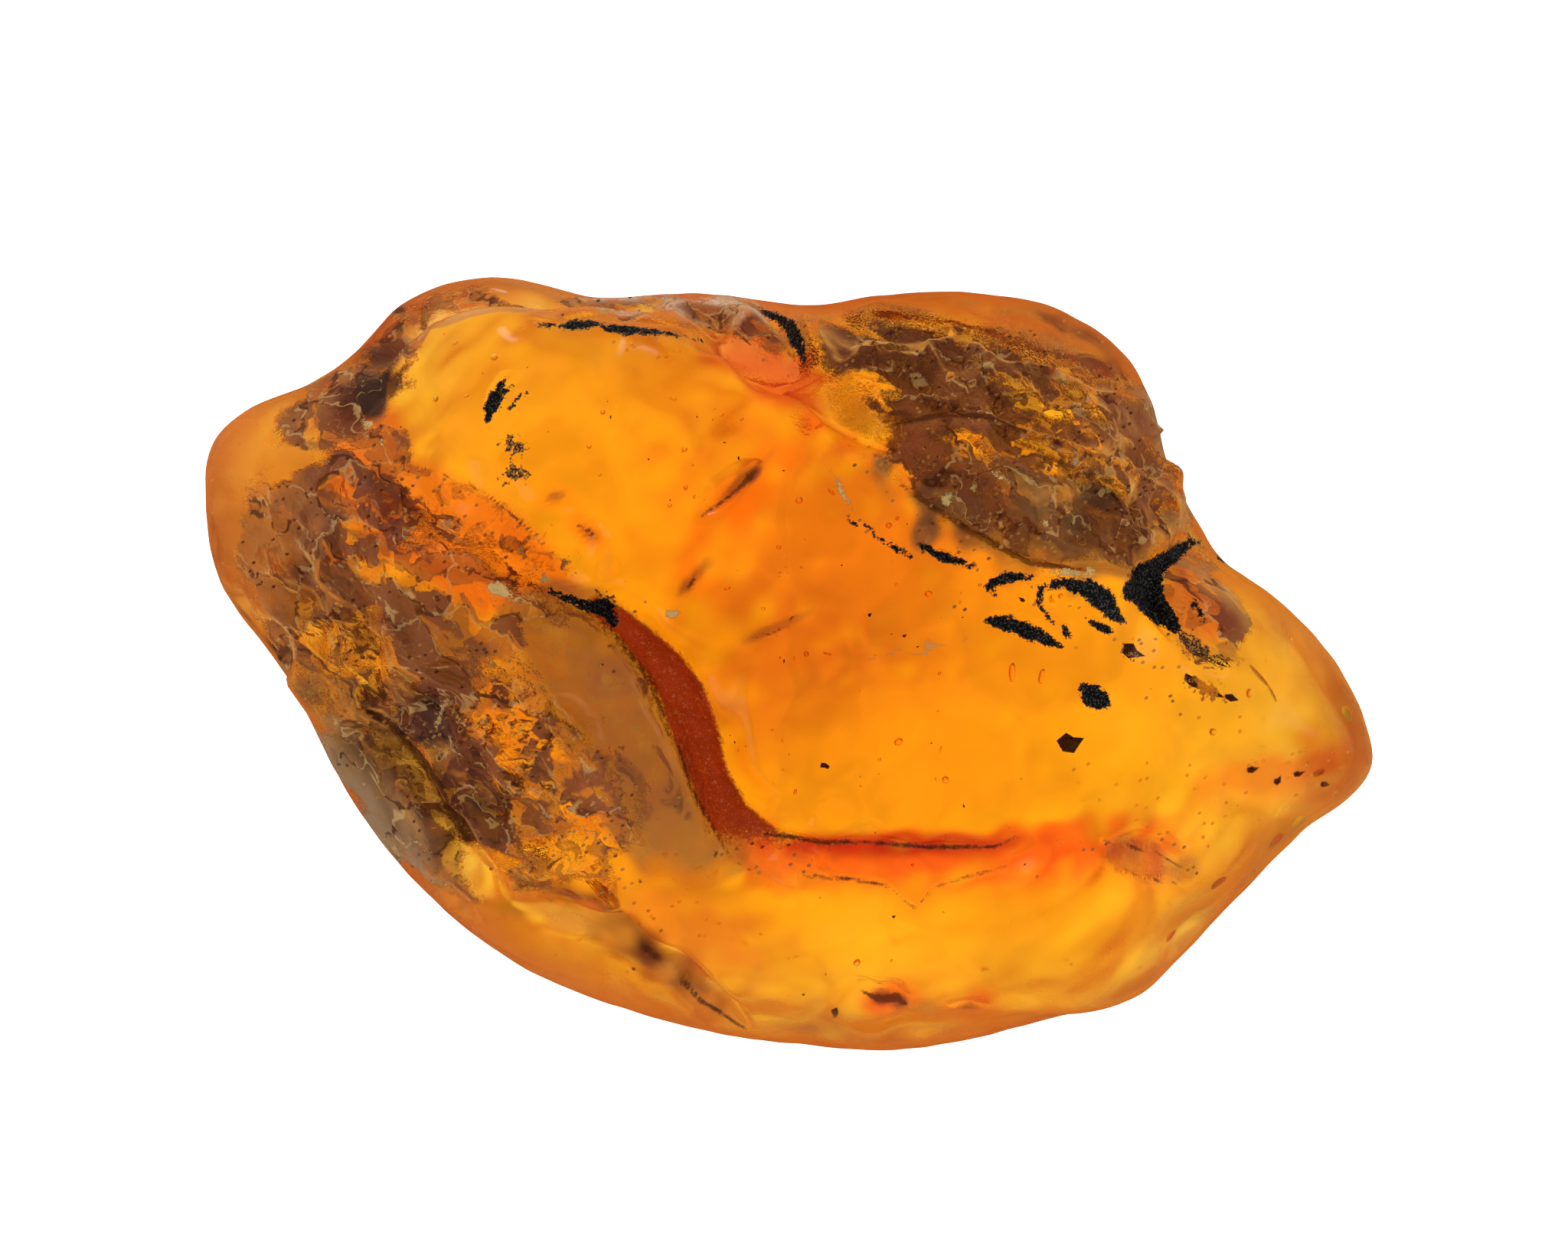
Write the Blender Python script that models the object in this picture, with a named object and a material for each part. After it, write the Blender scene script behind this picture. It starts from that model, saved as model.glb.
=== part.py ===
"""A tumbled and polished lump of Baltic amber, lying on its one flat ground face.

The frame: +X to the right and +Y up the broad side as seen from above, +Z away from the table.
The origin is on the table, under the middle of the lump. The sizes below are in millimetres.
"""

import math

import bmesh
import bpy
import numpy as np

MM = 0.001

# Driving sizes
RIM_HEIGHT = 8.6        # height of the widest contour over the table
RIM_TILT = 1.3          # how far that contour drops towards the pointed right end
TOP_RISE = 12.2         # from the widest contour up to the top of the dome
BASE_DROP = 9.7         # from the widest contour down to the uncut bottom of the lump
TOP_FULLNESS = 2.7      # 2 is an ellipse, and more gives a flatter top with steeper sides
BASE_FULLNESS = 2.2
TOP_SHARE = 116.0       # degrees of the round mesh, out of 180, that make the upper side
RIM_TWIST = 0.5         # how far the widest contour swings up and down twice around
RIM_TWIST_START = 0.6   # the angle, in radians, at which that swing starts

# Well inside the widest contour the lump is a plain slanting ellipse, and towards it takes its outline
HEART_LENGTH = 28.9
HEART_WIDTH = 18.5
HEART_TURN = -0.32      # in radians
HEART_END = 0.15        # share of the reach at which the outline starts to count

# The cube that is rounded into the lump has this many cuts along each edge
CUTS = 27

# The narrowest wall that a mesh of that spacing can show
NARROWEST = 1.0

# The widest contour, anticlockwise from the pointed right end
OUTLINE = (
    (30.0, -4.6), (28.4, -0.4), (25.0, 3.4), (22.3, 5.3), (20.9, 7.4), (19.4, 10.2),
    (18.5, 13.6), (16.9, 16.2), (13.2, 18.5), (9.8, 19.1), (4.5, 19.0), (0.6, 18.5),
    (-5.0, 19.1), (-10.2, 18.9), (-15.4, 19.9), (-19.7, 18.7), (-22.5, 15.9), (-24.7, 14.4),
    (-28.0, 13.0), (-29.7, 11.2), (-30.0, 8.4), (-29.2, 4.2), (-27.1, 1.2), (-25.3, -1.4),
    (-23.1, -5.8), (-19.1, -11.2), (-14.2, -15.2), (-7.4, -18.0), (0.0, -19.5), (5.0, -19.9),
    (12.2, -18.6), (18.4, -16.5), (22.4, -12.7), (26.2, -8.8), (29.3, -6.4),
)

# Broad swells and hollows of the upper side: x, y, radius, height
TOP_SWELLS = (
    (-6.0, 8.0, 9.5, 0.9),
    (-14.0, -4.0, 7.5, 0.8),
    (12.0, 10.5, 7.0, 1.3),
    (8.0, -5.0, 8.0, 0.4),
    (23.0, -4.0, 7.0, -1.5),
    (-26.0, 8.0, 5.0, -1.2),
    (2.0, -17.0, 6.0, -0.6),
    (-21.0, 10.0, 4.0, -0.7),
)

# Swells of the under side, each pushed outwards by its height
BASE_SWELLS = (
    (-17.0, 9.0, 7.0, 1.0),
    (15.0, 8.0, 6.5, 0.8),
    (14.0, -10.0, 6.0, -1.2),
    (-16.0, -7.0, 6.0, -1.0),
    (0.0, 15.0, 5.0, -0.9),
    (23.0, -3.0, 5.0, 0.6),
)

# Folds where two flows of resin met. Each has its route, its half width on the left and on the right
# of the route's direction, and its depth. A narrow side is a steep wall and a wide one rolls in gently.
FOLDS = {
    "red_fold": (
        ((-22.0, 12.0), (-19.6, 9.2), (-16.0, 6.8), (-12.2, 4.3), (-8.6, 2.2), (-6.4, 0.1),
         (-5.1, -2.2), (-4.4, -4.3), (-3.5, -6.4), (-2.3, -8.4), (0.2, -9.6), (2.2, -10.2)),
        1.7, 1.1, 1.9),
    "thin_fold": (
        ((-1.4, -8.6), (1.2, -9.2), (3.6, -8.6), (6.2, -9.3), (8.6, -8.9), (10.6, -9.4), (12.8, -8.4)),
        0.9, 1.3, 0.6),
    "back_fold": (
        ((-5.2, 16.9), (-3.2, 15.9), (-1.2, 14.9), (0.6, 13.6), (2.4, 12.2), (4.2, 11.1), (5.8, 10.7)),
        1.5, 1.0, 1.9),
    "crust_seam": (
        ((0.4, 16.9), (4.0, 17.1), (8.0, 16.7), (11.5, 15.6), (14.6, 14.5), (18.0, 14.0)),
        0.9, 0.9, 1.0),
    "char_seam": (
        ((21.4, 6.6), (19.6, 5.8), (18.0, 4.5), (18.2, 3.1), (20.0, 1.7), (22.4, 0.0)),
        0.9, 0.9, 0.8),
    "char_rim": (
        ((-2.2, 18.8), (-0.6, 17.5), (0.2, 16.3), (0.5, 14.6)),
        0.8, 0.8, 1.0),
    "left_slit": (
        ((-21.4, -2.2), (-20.2, -3.8), (-18.2, -5.2), (-16.8, -7.4), (-15.4, -9.6), (-13.6, -11.2)),
        0.8, 0.8, 1.3),
    "low_slit": (
        ((-13.6, -11.4), (-11.0, -12.4), (-8.4, -13.2), (-6.2, -15.0), (-4.4, -16.9), (-2.0, -18.7)),
        0.8, 0.8, 1.2),
    "ear_slit": (
        ((-28.9, 3.8), (-27.3, 2.3), (-25.9, 0.9), (-25.4, -0.8)),
        0.7, 0.7, 1.1),
}

# Ledges: the side left of the route's direction stands lower by the drop
LEDGES = {
    "back_shelf": (
        ((-21.6, 14.4), (-20.2, 16.3), (-18.4, 17.9), (-15.0, 18.2), (-8.5, 18.0), (-5.6, 17.3)),
        0.7, 2.6),
    "crust_ledge": (
        ((5.0, 12.4), (9.6, 12.3), (12.4, 11.2), (15.2, 10.2), (18.6, 8.9)),
        0.6, 0.9),
    "upper_ledge": (
        ((9.6, 15.4), (13.0, 15.0), (15.2, 13.8), (18.2, 13.2)),
        0.5, 0.6),
    "char_ledge": (
        ((17.2, 4.4), (12.8, 4.7), (9.4, 5.4)),
        0.6, -0.5),
}

END_TAPER = 0.18        # share of a route over which a fold or ledge fades out at each end
LEDGE_REACH = 3.5       # how far from its edge a ledge's drop has mostly gone
WANDER = 0.28           # share by which a fold's width comes and goes along it
WANDER_SPACING = 4.5

# Relief of the upper side fades in as the skin turns up from the widest contour, and that of the under
# side as it turns down. Each pair is the normal's upright share where it starts and where it is whole.
TURNED_UP = (0.08, 0.45)
TURNED_DOWN = (0.08, 0.6)

# Scooped chips and sunken pits: x, y, half length, half width, turn in degrees, depth
PIT_WALL = (0.35, 1.15)     # where a pit's wall starts and ends, as shares of its half size
PITS = (
    (-21.3, 1.2, 2.5, 1.7, 80.0, 0.9),
    (-18.3, -2.3, 2.7, 1.9, -50.0, 0.7),
    (-24.2, 3.2, 2.6, 1.3, 110.0, 0.8),
    (-14.6, -6.4, 2.0, 1.4, -40.0, 0.5),
    (-11.4, -3.0, 2.3, 1.6, -25.0, 0.7),
    (-11.0, -8.6, 2.2, 1.2, 25.0, 0.8),
    (-16.7, -11.7, 1.6, 0.9, -42.0, 0.8),
    (17.8, -9.3, 2.3, 1.0, -14.0, 0.8),
    (-3.4, 8.4, 2.0, 0.8, 42.0, 0.3),
    (2.4, 13.0, 1.6, 1.1, -30.0, 0.5),
    (5.4, 11.4, 1.4, 1.0, 20.0, 0.7),
    (14.2, 7.4, 1.3, 0.9, -20.0, 0.5),
    (6.2, 14.4, 1.8, 1.0, 10.0, 0.6),
    (-4.2, 17.6, 1.8, 0.8, 0.0, 1.0),
)

# The rough, layered crust that was never ground away: its border, and the height of its ridges
CRUST_FIELDS = (
    (((0.8, 17.2), (8.0, 17.0), (14.6, 14.6), (19.2, 13.6), (20.8, 8.0), (17.6, 5.0), (9.6, 5.4),
      (5.4, 8.8), (4.2, 12.0), (2.0, 14.4)), 0.6),
    (((-28.0, 7.6), (-24.0, 9.4), (-20.4, 4.6), (-15.6, 0.8), (-9.2, -2.4), (-7.4, -7.2), (-12.0, -10.4),
      (-16.4, -8.4), (-21.6, -3.4), (-24.8, 0.6), (-27.6, 4.2)), 0.45),
)
CRUST_GRAIN = 2.6       # spacing of the crust's ridges
CRUST_SLANT = -24.0     # direction of its layers in plan, in degrees
CRUST_STRETCH = 2.2     # how much longer than wide a ridge is
CRUST_DEEPEST = 1.6     # the rough field's size past which a ridge's foot is flat
CRUST_EDGE = (-0.3, 1.4)    # distance inside the border where the ridges start and where they are whole
WAVE_COUNT = 26         # sine waves that are summed into one rough field
WAVE_SPREAD = (0.6, 1.5)    # range of their rates, as shares of the field's own
WAVES = ((11.0, 0.22), (5.0, 0.09))     # spacing and height of the polished skin's soft waves
SEED = 11

SHARPEST_ANGLE = 60.0   # degrees between faces past which an edge isn't shaded smooth

AMBER_COLOUR = (0.83, 0.36, 0.02, 1.0)
AMBER_ROUGHNESS = 0.08


def smooth_step(value, low, high):
    """0 below low, 1 above high, and an S-curve between."""
    t = np.clip((value - low) / (high - low), 0.0, 1.0)
    return t * t * (3.0 - 2.0 * t)


def outline_radius(angle):
    """Radius of the widest contour at each angle: a smooth closed curve through OUTLINE."""
    corners = np.array(OUTLINE)
    knots = np.arctan2(corners[:, 1], corners[:, 0])
    order = np.argsort(knots)
    knots, radii = knots[order], np.hypot(*corners[order].T)
    count = len(knots)
    wrapped = np.concatenate([knots - 2 * math.pi, knots, knots + 2 * math.pi])
    values = np.tile(radii, 3)
    slopes = (values[2:] - values[:-2]) / (wrapped[2:] - wrapped[:-2])
    at = np.clip(np.searchsorted(wrapped, angle, side="right") - 1, count - 1, 2 * count)
    gap = wrapped[at + 1] - wrapped[at]
    t = (angle - wrapped[at]) / gap
    return (
        values[at] * (1 + 2 * t) * (1 - t) ** 2
        + slopes[at - 1] * gap * t * (1 - t) ** 2
        + values[at + 1] * t * t * (3 - 2 * t)
        + slopes[at] * gap * t * t * (t - 1)
    )


def lump_points(directions):
    """Each unit direction's place on the plain lump, before folds and crust are worked into it."""
    angle = np.arctan2(directions[:, 1], directions[:, 0])
    tip = np.degrees(np.arccos(np.clip(directions[:, 2], -1, 1)))
    upper = tip <= TOP_SHARE
    polar = np.where(upper, tip * 90 / TOP_SHARE, 180 - (180 - tip) * 90 / (180 - TOP_SHARE))
    out = np.sin(np.radians(polar))
    turned = angle - HEART_TURN
    heart = 1 / np.hypot(np.cos(turned) / HEART_LENGTH, np.sin(turned) / HEART_WIDTH)
    reach = out * (heart + (outline_radius(angle) - heart) * smooth_step(out, HEART_END, 1.0))
    fullness = np.where(upper, TOP_FULLNESS, BASE_FULLNESS)
    height = np.sqrt(np.maximum(1 - out ** fullness, 0.0))
    swing = RIM_TWIST * np.sin(2 * angle + RIM_TWIST_START) - RIM_TILT * np.cos(angle)
    rim = RIM_HEIGHT + swing * out
    z = rim + np.where(upper, TOP_RISE, -BASE_DROP) * height
    return np.column_stack([reach * np.cos(angle), reach * np.sin(angle), z])


def route_field(plan, route):
    """Distance to a polyline, the side it lies on (positive is left), and how far along it is, 0 to 1."""
    ends = np.array(route)
    steps = np.diff(ends, axis=0)
    lengths = np.hypot(*steps.T)
    before = np.concatenate([[0.0], np.cumsum(lengths)])[:-1]
    best = np.full(len(plan), np.inf)
    side = np.zeros(len(plan))
    along = np.zeros(len(plan))
    for start, step, length, run in zip(ends[:-1], steps, lengths, before):
        away = plan - start
        t = np.clip(away @ step / length ** 2, 0.0, 1.0)
        gap = np.hypot(*(away - t[:, None] * step).T)
        closer = gap < best
        cross = step[0] * away[:, 1] - step[1] * away[:, 0]
        best = np.where(closer, gap, best)
        side = np.where(closer, np.sign(cross), side)
        along = np.where(closer, (run + t * length) / lengths.sum(), along)
    return best, side, along


def inside_field(plan, border):
    """Signed distance to a closed border: positive inside."""
    gap, _, _ = route_field(plan, border + border[:1])
    ends = np.array(border)
    inside = np.zeros(len(plan), bool)
    for (x0, y0), (x1, y1) in zip(ends, np.roll(ends, -1, axis=0)):
        crosses = (y0 > plan[:, 1]) != (y1 > plan[:, 1])
        at = x0 + (plan[:, 1] - y0) * (x1 - x0) / (y1 - y0 if y1 != y0 else 1e-9)
        inside ^= crosses & (plan[:, 0] < at)
    return np.where(inside, gap, -gap)


def wave_field(points, spacing, seed):
    """A smooth random field of about unit height: sine waves of one spacing in seeded directions."""
    draw = np.random.default_rng(seed)
    headings = draw.normal(size=(WAVE_COUNT, points.shape[1]))
    headings /= np.linalg.norm(headings, axis=1)[:, None]
    rates = 2 * math.pi / spacing * draw.uniform(*WAVE_SPREAD, WAVE_COUNT)
    phases = draw.uniform(0, 2 * math.pi, WAVE_COUNT)
    return np.sin(points @ (headings * rates[:, None]).T + phases).sum(1) / math.sqrt(WAVE_COUNT / 2)


def crust_ridges(plan):
    """Sharp-crested ridges drawn out along the layers: one minus the size of a rough field."""
    slant = math.radians(CRUST_SLANT)
    length = plan @ (math.cos(slant), math.sin(slant)) / CRUST_STRETCH
    width = plan @ (-math.sin(slant), math.cos(slant))
    rough = wave_field(np.column_stack([length, width]), CRUST_GRAIN, SEED)
    return 1.0 - np.minimum(np.abs(rough), CRUST_DEEPEST)


def swell_relief(plan, swells):
    """Round hills and hollows, each a bell of its own radius and height."""
    relief = np.zeros(len(plan))
    for x, y, radius, height in swells:
        relief += height * np.exp(-((plan[:, 0] - x) ** 2 + (plan[:, 1] - y) ** 2) / radius ** 2)
    return relief


def fold_relief(plan):
    """Furrows along the folds' routes, with a steep wall on one side and a soft one on the other."""
    relief = np.zeros(len(plan))
    wander = 1 + WANDER * wave_field(plan, WANDER_SPACING, SEED)
    for route, left, right, depth in FOLDS.values():
        gap, side, along = route_field(plan, route)
        across = gap / np.maximum(np.where(side > 0, left, right) * wander, NARROWEST)
        ends = smooth_step(along, 0.0, END_TAPER) * smooth_step(1 - along, 0.0, END_TAPER)
        relief -= depth * np.exp(-across ** 2) * ends
    return relief


def ledge_relief(plan):
    """Steps down on the left of the ledges' routes, each fading out away from its edge."""
    relief = np.zeros(len(plan))
    for route, width, drop in LEDGES.values():
        gap, side, along = route_field(plan, route)
        wall = max(width, NARROWEST)
        lower = smooth_step(gap * side, -wall, wall)
        near = np.exp(-(gap / LEDGE_REACH) ** 2)
        ends = smooth_step(along, 0.0, END_TAPER) * smooth_step(1 - along, 0.0, END_TAPER)
        relief -= drop * lower * near * ends
    return relief


def pit_relief(plan):
    """Oval pits with a flat floor and a sloping wall."""
    relief = np.zeros(len(plan))
    for x, y, half_length, half_width, turn, depth in PITS:
        c, s = math.cos(math.radians(turn)), math.sin(math.radians(turn))
        u = ((plan[:, 0] - x) * c + (plan[:, 1] - y) * s) / half_length
        v = ((plan[:, 1] - y) * c - (plan[:, 0] - x) * s) / half_width
        relief -= depth * (1 - smooth_step(np.hypot(u, v), *PIT_WALL))
    return relief


def crust_relief(plan):
    """The crust's ridges, fading in from each field's border."""
    relief = np.zeros(len(plan))
    ridges = crust_ridges(plan)
    for border, height in CRUST_FIELDS:
        relief += height * ridges * smooth_step(inside_field(plan, border), *CRUST_EDGE)
    return relief


def relief_of(points, normals):
    """How far each point is pushed out along its normal by the folds, ledges, chips, crust and swells."""
    plan = points[:, :2]
    facing = smooth_step(normals[:, 2], *TURNED_UP)
    turned_down = smooth_step(-normals[:, 2], *TURNED_DOWN)
    upper = swell_relief(plan, TOP_SWELLS) + fold_relief(plan) + ledge_relief(plan)
    upper += pit_relief(plan) + crust_relief(plan)
    under = swell_relief(plan, BASE_SWELLS)
    waviness = np.zeros(len(points))
    for turn, (spacing, height) in enumerate(WAVES, 1):
        waviness += height * wave_field(points, spacing, SEED + turn)
    return facing * (upper + waviness) + turned_down * (under + waviness)


def rounded_cube():
    """A cube with its faces in grids, each vertex turned into a unit direction with even spacing."""
    lump = bmesh.new()
    bmesh.ops.create_cube(lump, size=2.0)
    bmesh.ops.subdivide_edges(lump, edges=lump.edges[:], cuts=CUTS, use_grid_fill=True)
    corners = np.array([vertex.co for vertex in lump.verts])
    evened = np.tan(corners * math.pi / 4)
    return lump, evened / np.linalg.norm(evened, axis=1)[:, None]


def move_vertices(lump, places):
    for vertex, place in zip(lump.verts, places):
        vertex.co = place
    lump.normal_update()


def grind_flat(lump):
    """Cuts the lump off at the table's level and closes the cut with one flat face."""
    whole = lump.verts[:] + lump.edges[:] + lump.faces[:]
    cut = bmesh.ops.bisect_plane(
        lump, geom=whole, dist=1e-7, plane_co=(0, 0, 0), plane_no=(0, 0, 1), clear_inner=True
    )
    border = [item for item in cut["geom_cut"] if isinstance(item, bmesh.types.BMEdge)]
    bmesh.ops.edgeloop_fill(lump, edges=border)
    bmesh.ops.recalc_face_normals(lump, faces=lump.faces[:])
    bmesh.ops.triangulate(lump, faces=lump.faces[:])


def amber_material():
    material = bpy.data.materials.new("polished_amber")
    material.use_nodes = True
    finish = material.node_tree.nodes["Principled BSDF"]
    finish.inputs["Base Color"].default_value = AMBER_COLOUR
    finish.inputs["Roughness"].default_value = AMBER_ROUGHNESS
    finish.inputs["Metallic"].default_value = 0.0
    finish.inputs["IOR"].default_value = 1.54
    finish.inputs["Transmission Weight"].default_value = 0.6
    return material


def build_amber():
    lump, directions = rounded_cube()
    points = lump_points(directions)
    move_vertices(lump, points)
    normals = np.array([vertex.normal for vertex in lump.verts])
    points += normals * relief_of(points, normals)[:, None]
    points[:, :2] -= (points[:, :2].max(0) + points[:, :2].min(0)) / 2
    move_vertices(lump, points * MM)
    grind_flat(lump)
    mesh = bpy.data.meshes.new("amber_piece")
    lump.to_mesh(mesh)
    lump.free()
    mesh.shade_smooth()
    mesh.set_sharp_from_angle(angle=math.radians(SHARPEST_ANGLE))
    mesh.materials.append(amber_material())
    amber = bpy.data.objects.new("amber_piece", mesh)
    bpy.context.scene.collection.objects.link(amber)


def main():
    for leftover in list(bpy.data.objects):
        bpy.data.objects.remove(leftover)
    build_amber()


main()
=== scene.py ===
"""The looks of a polished lump of amber: its fine skin, folds, crust and char, what it holds, and the stage.

Run it in Blender. The lengths in the tables are millimetres in the lump's own plan, as seen from above:
+X along it to its pointed end, +Y across it and +Z up. The origin is under the middle of its box.
"""

import math

import bpy
import numpy as np
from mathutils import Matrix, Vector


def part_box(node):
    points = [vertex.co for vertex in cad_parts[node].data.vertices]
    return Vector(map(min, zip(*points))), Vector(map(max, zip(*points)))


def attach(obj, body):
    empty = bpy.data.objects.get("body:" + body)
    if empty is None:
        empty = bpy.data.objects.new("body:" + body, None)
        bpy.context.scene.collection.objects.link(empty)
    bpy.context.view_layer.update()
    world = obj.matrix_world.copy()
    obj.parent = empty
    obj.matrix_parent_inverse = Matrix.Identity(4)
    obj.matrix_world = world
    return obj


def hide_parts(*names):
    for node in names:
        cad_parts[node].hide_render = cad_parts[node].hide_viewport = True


bl_info = {
    "name": "Amber Piece",
    "version": (1, 0, 0),
    "blender": (4, 5, 0),
    "location": "3D View > Sidebar > Amber",
    "description": "Makes the fine skin and the inclusions of a polished lump of amber, and its light table",
    "category": "Add Mesh",
}

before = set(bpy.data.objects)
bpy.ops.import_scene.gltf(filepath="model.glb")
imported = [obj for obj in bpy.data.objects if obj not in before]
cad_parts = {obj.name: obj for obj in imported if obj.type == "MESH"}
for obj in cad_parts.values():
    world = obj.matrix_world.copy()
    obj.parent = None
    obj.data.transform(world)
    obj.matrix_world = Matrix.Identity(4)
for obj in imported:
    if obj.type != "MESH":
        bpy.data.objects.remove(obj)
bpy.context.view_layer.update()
SOLID_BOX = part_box("amber_piece")

MM = 0.001

# The plain lump, as in the solid: the widest contour's height and swing, the dome over it, the base under it
RIM_HEIGHT = 8.6
RIM_TILT = 1.3
RIM_TWIST = 0.5
RIM_TWIST_START = 0.6
TOP_RISE = 12.2
BASE_DROP = 9.7
TOP_FULLNESS = 2.7
BASE_FULLNESS = 2.2
TOP_SHARE = 116.0       # degrees of the round grid, out of 180, that make the upper side
HEART_LENGTH = 28.9
HEART_WIDTH = 18.5
HEART_TURN = -0.32
HEART_END = 0.15

# The widest contour, anticlockwise from the pointed right end
OUTLINE = (
    (30.0, -4.6), (28.4, -0.4), (25.0, 3.4), (22.3, 5.3), (20.9, 7.4), (19.4, 10.2),
    (18.5, 13.6), (16.9, 16.2), (13.2, 18.5), (9.8, 19.1), (4.5, 19.0), (0.6, 18.5),
    (-5.0, 19.1), (-10.2, 18.9), (-15.4, 19.9), (-19.7, 18.7), (-22.5, 15.9), (-24.7, 14.4),
    (-28.0, 13.0), (-29.7, 11.2), (-30.0, 8.4), (-29.2, 4.2), (-27.1, 1.2), (-25.3, -1.4),
    (-23.1, -5.8), (-19.1, -11.2), (-14.2, -15.2), (-7.4, -18.0), (0.0, -19.5), (5.0, -19.9),
    (12.2, -18.6), (18.4, -16.5), (22.4, -12.7), (26.2, -8.8), (29.3, -6.4),
)

# Broad swells and hollows of the upper side and of the under side: x, y, radius, height
TOP_SWELLS = (
    (-6.0, 8.0, 9.5, 0.9), (-14.0, -4.0, 7.5, 0.8), (12.0, 10.5, 7.0, 1.3), (8.0, -5.0, 8.0, 0.4),
    (23.0, -4.0, 7.0, -1.5), (-26.0, 8.0, 5.0, -1.2), (2.0, -17.0, 6.0, -0.6), (-21.0, 10.0, 4.0, -0.7),
)
BASE_SWELLS = (
    (-17.0, 9.0, 7.0, 1.0), (15.0, 8.0, 6.5, 0.8), (14.0, -10.0, 6.0, -1.2),
    (-16.0, -7.0, 6.0, -1.0), (0.0, 15.0, 5.0, -0.9), (23.0, -3.0, 5.0, 0.6),
)

# Folds where two flows of resin met: route, half width on its left and on its right, depth
FOLDS = {
    "red_fold": (
        ((-22.0, 12.0), (-19.6, 9.2), (-16.0, 6.8), (-12.2, 4.3), (-8.6, 2.2), (-6.4, 0.1),
         (-5.1, -2.2), (-4.4, -4.3), (-3.5, -6.4), (-2.3, -8.4), (0.2, -9.6), (2.2, -10.2)),
        1.7, 1.1, 1.9),
    "thin_fold": (
        ((-1.4, -8.6), (1.2, -9.2), (3.6, -8.6), (6.2, -9.3), (8.6, -8.9), (10.6, -9.4), (12.8, -8.4)),
        0.7, 1.3, 0.6),
    "back_fold": (
        ((-5.2, 16.9), (-3.2, 15.9), (-1.2, 14.9), (0.6, 13.6), (2.4, 12.2), (4.2, 11.1), (5.8, 10.7)),
        1.5, 0.8, 1.9),
    "crust_seam": (
        ((0.4, 16.9), (4.0, 17.1), (8.0, 16.7), (11.5, 15.6), (14.6, 14.5), (18.0, 14.0)),
        0.7, 0.7, 1.1),
    "char_seam": (
        ((21.4, 6.6), (19.6, 5.8), (18.0, 4.5), (18.2, 3.1), (20.0, 1.7), (22.4, 0.0)),
        0.8, 0.8, 0.8),
    "char_rim": (
        ((-2.2, 18.8), (-0.6, 17.5), (0.2, 16.3), (0.5, 14.6)),
        0.6, 0.6, 1.0),
    "left_slit": (
        ((-21.4, -2.2), (-20.2, -3.8), (-18.2, -5.2), (-16.8, -7.4), (-15.4, -9.6), (-13.6, -11.2)),
        0.5, 0.7, 1.4),
    "low_slit": (
        ((-13.6, -11.4), (-11.0, -12.4), (-8.4, -13.2), (-6.2, -15.0), (-4.4, -16.9), (-2.0, -18.7)),
        0.5, 0.7, 1.3),
    "ear_slit": (
        ((-28.9, 3.8), (-27.3, 2.3), (-25.9, 0.9), (-25.4, -0.8)),
        0.5, 0.6, 1.2),
}

# Ledges: the side left of the route stands lower by the drop
LEDGES = {
    "back_shelf": (
        ((-21.6, 14.4), (-20.2, 16.3), (-18.4, 17.9), (-15.0, 18.2), (-8.5, 18.0), (-5.6, 17.3)),
        0.5, 2.6),
    "crust_ledge": (
        ((5.0, 12.4), (9.6, 12.3), (12.4, 11.2), (15.2, 10.2), (18.6, 8.9)),
        0.35, 0.9),
    "upper_ledge": (
        ((9.6, 15.4), (13.0, 15.0), (15.2, 13.8), (18.2, 13.2)),
        0.3, 0.6),
    "char_ledge": (
        ((17.2, 4.4), (12.8, 4.7), (9.4, 5.4)),
        0.3, -0.5),
}
END_TAPER = 0.18
LEDGE_REACH = 3.5
WANDER = 0.28
LEAST_WANDER = 0.4
WANDER_SPACING = 4.5
TURNED_UP = (0.08, 0.45)
TURNED_DOWN = (0.08, 0.6)

# Scooped chips and sunken pits: x, y, half length, half width, turn in degrees, depth
PIT_WALL = (0.35, 1.15)
PITS = (
    (-21.3, 1.2, 2.5, 1.7, 80.0, 0.9), (-18.3, -2.3, 2.7, 1.9, -50.0, 0.7),
    (-24.2, 3.2, 2.6, 1.3, 110.0, 0.8), (-14.6, -6.4, 2.0, 1.4, -40.0, 0.5),
    (-11.4, -3.0, 2.3, 1.6, -25.0, 0.7), (-11.0, -8.6, 2.2, 1.2, 25.0, 0.8),
    (-16.7, -11.7, 1.6, 0.9, -42.0, 0.8), (17.8, -9.3, 2.3, 1.0, -14.0, 0.8),
    (-3.4, 8.4, 2.0, 0.8, 42.0, 0.3), (2.4, 13.0, 1.6, 1.1, -30.0, 0.5), (5.4, 11.4, 1.4, 1.0, 20.0, 0.7),
    (14.2, 7.4, 1.3, 0.9, -20.0, 0.5), (6.2, 14.4, 1.8, 1.0, 10.0, 0.6), (-4.2, 17.6, 1.8, 0.8, 0.0, 1.0),
)

# The rough, layered crust that was never ground away: border, and height of its ridges
CRUST_FIELDS = (
    (((0.8, 17.2), (8.0, 17.0), (14.6, 14.6), (19.2, 13.6), (20.8, 8.0), (17.6, 5.0), (9.6, 5.4),
      (5.4, 8.8), (4.2, 12.0), (2.0, 14.4)), 0.6),
    (((-28.0, 7.6), (-24.0, 9.4), (-20.4, 4.6), (-15.6, 0.8), (-9.2, -2.4), (-7.4, -7.2), (-12.0, -10.4),
      (-16.4, -8.4), (-21.6, -3.4), (-24.8, 0.6), (-27.6, 4.2)), 0.45),
)
CRUST_GRAIN = 2.6
CRUST_SLANT = -24.0
CRUST_STRETCH = 2.2
CRUST_DEEPEST = 1.6
CRUST_EDGE = (-0.3, 1.4)
WAVE_COUNT = 26
WAVE_SPREAD = (0.6, 1.5)
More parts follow.
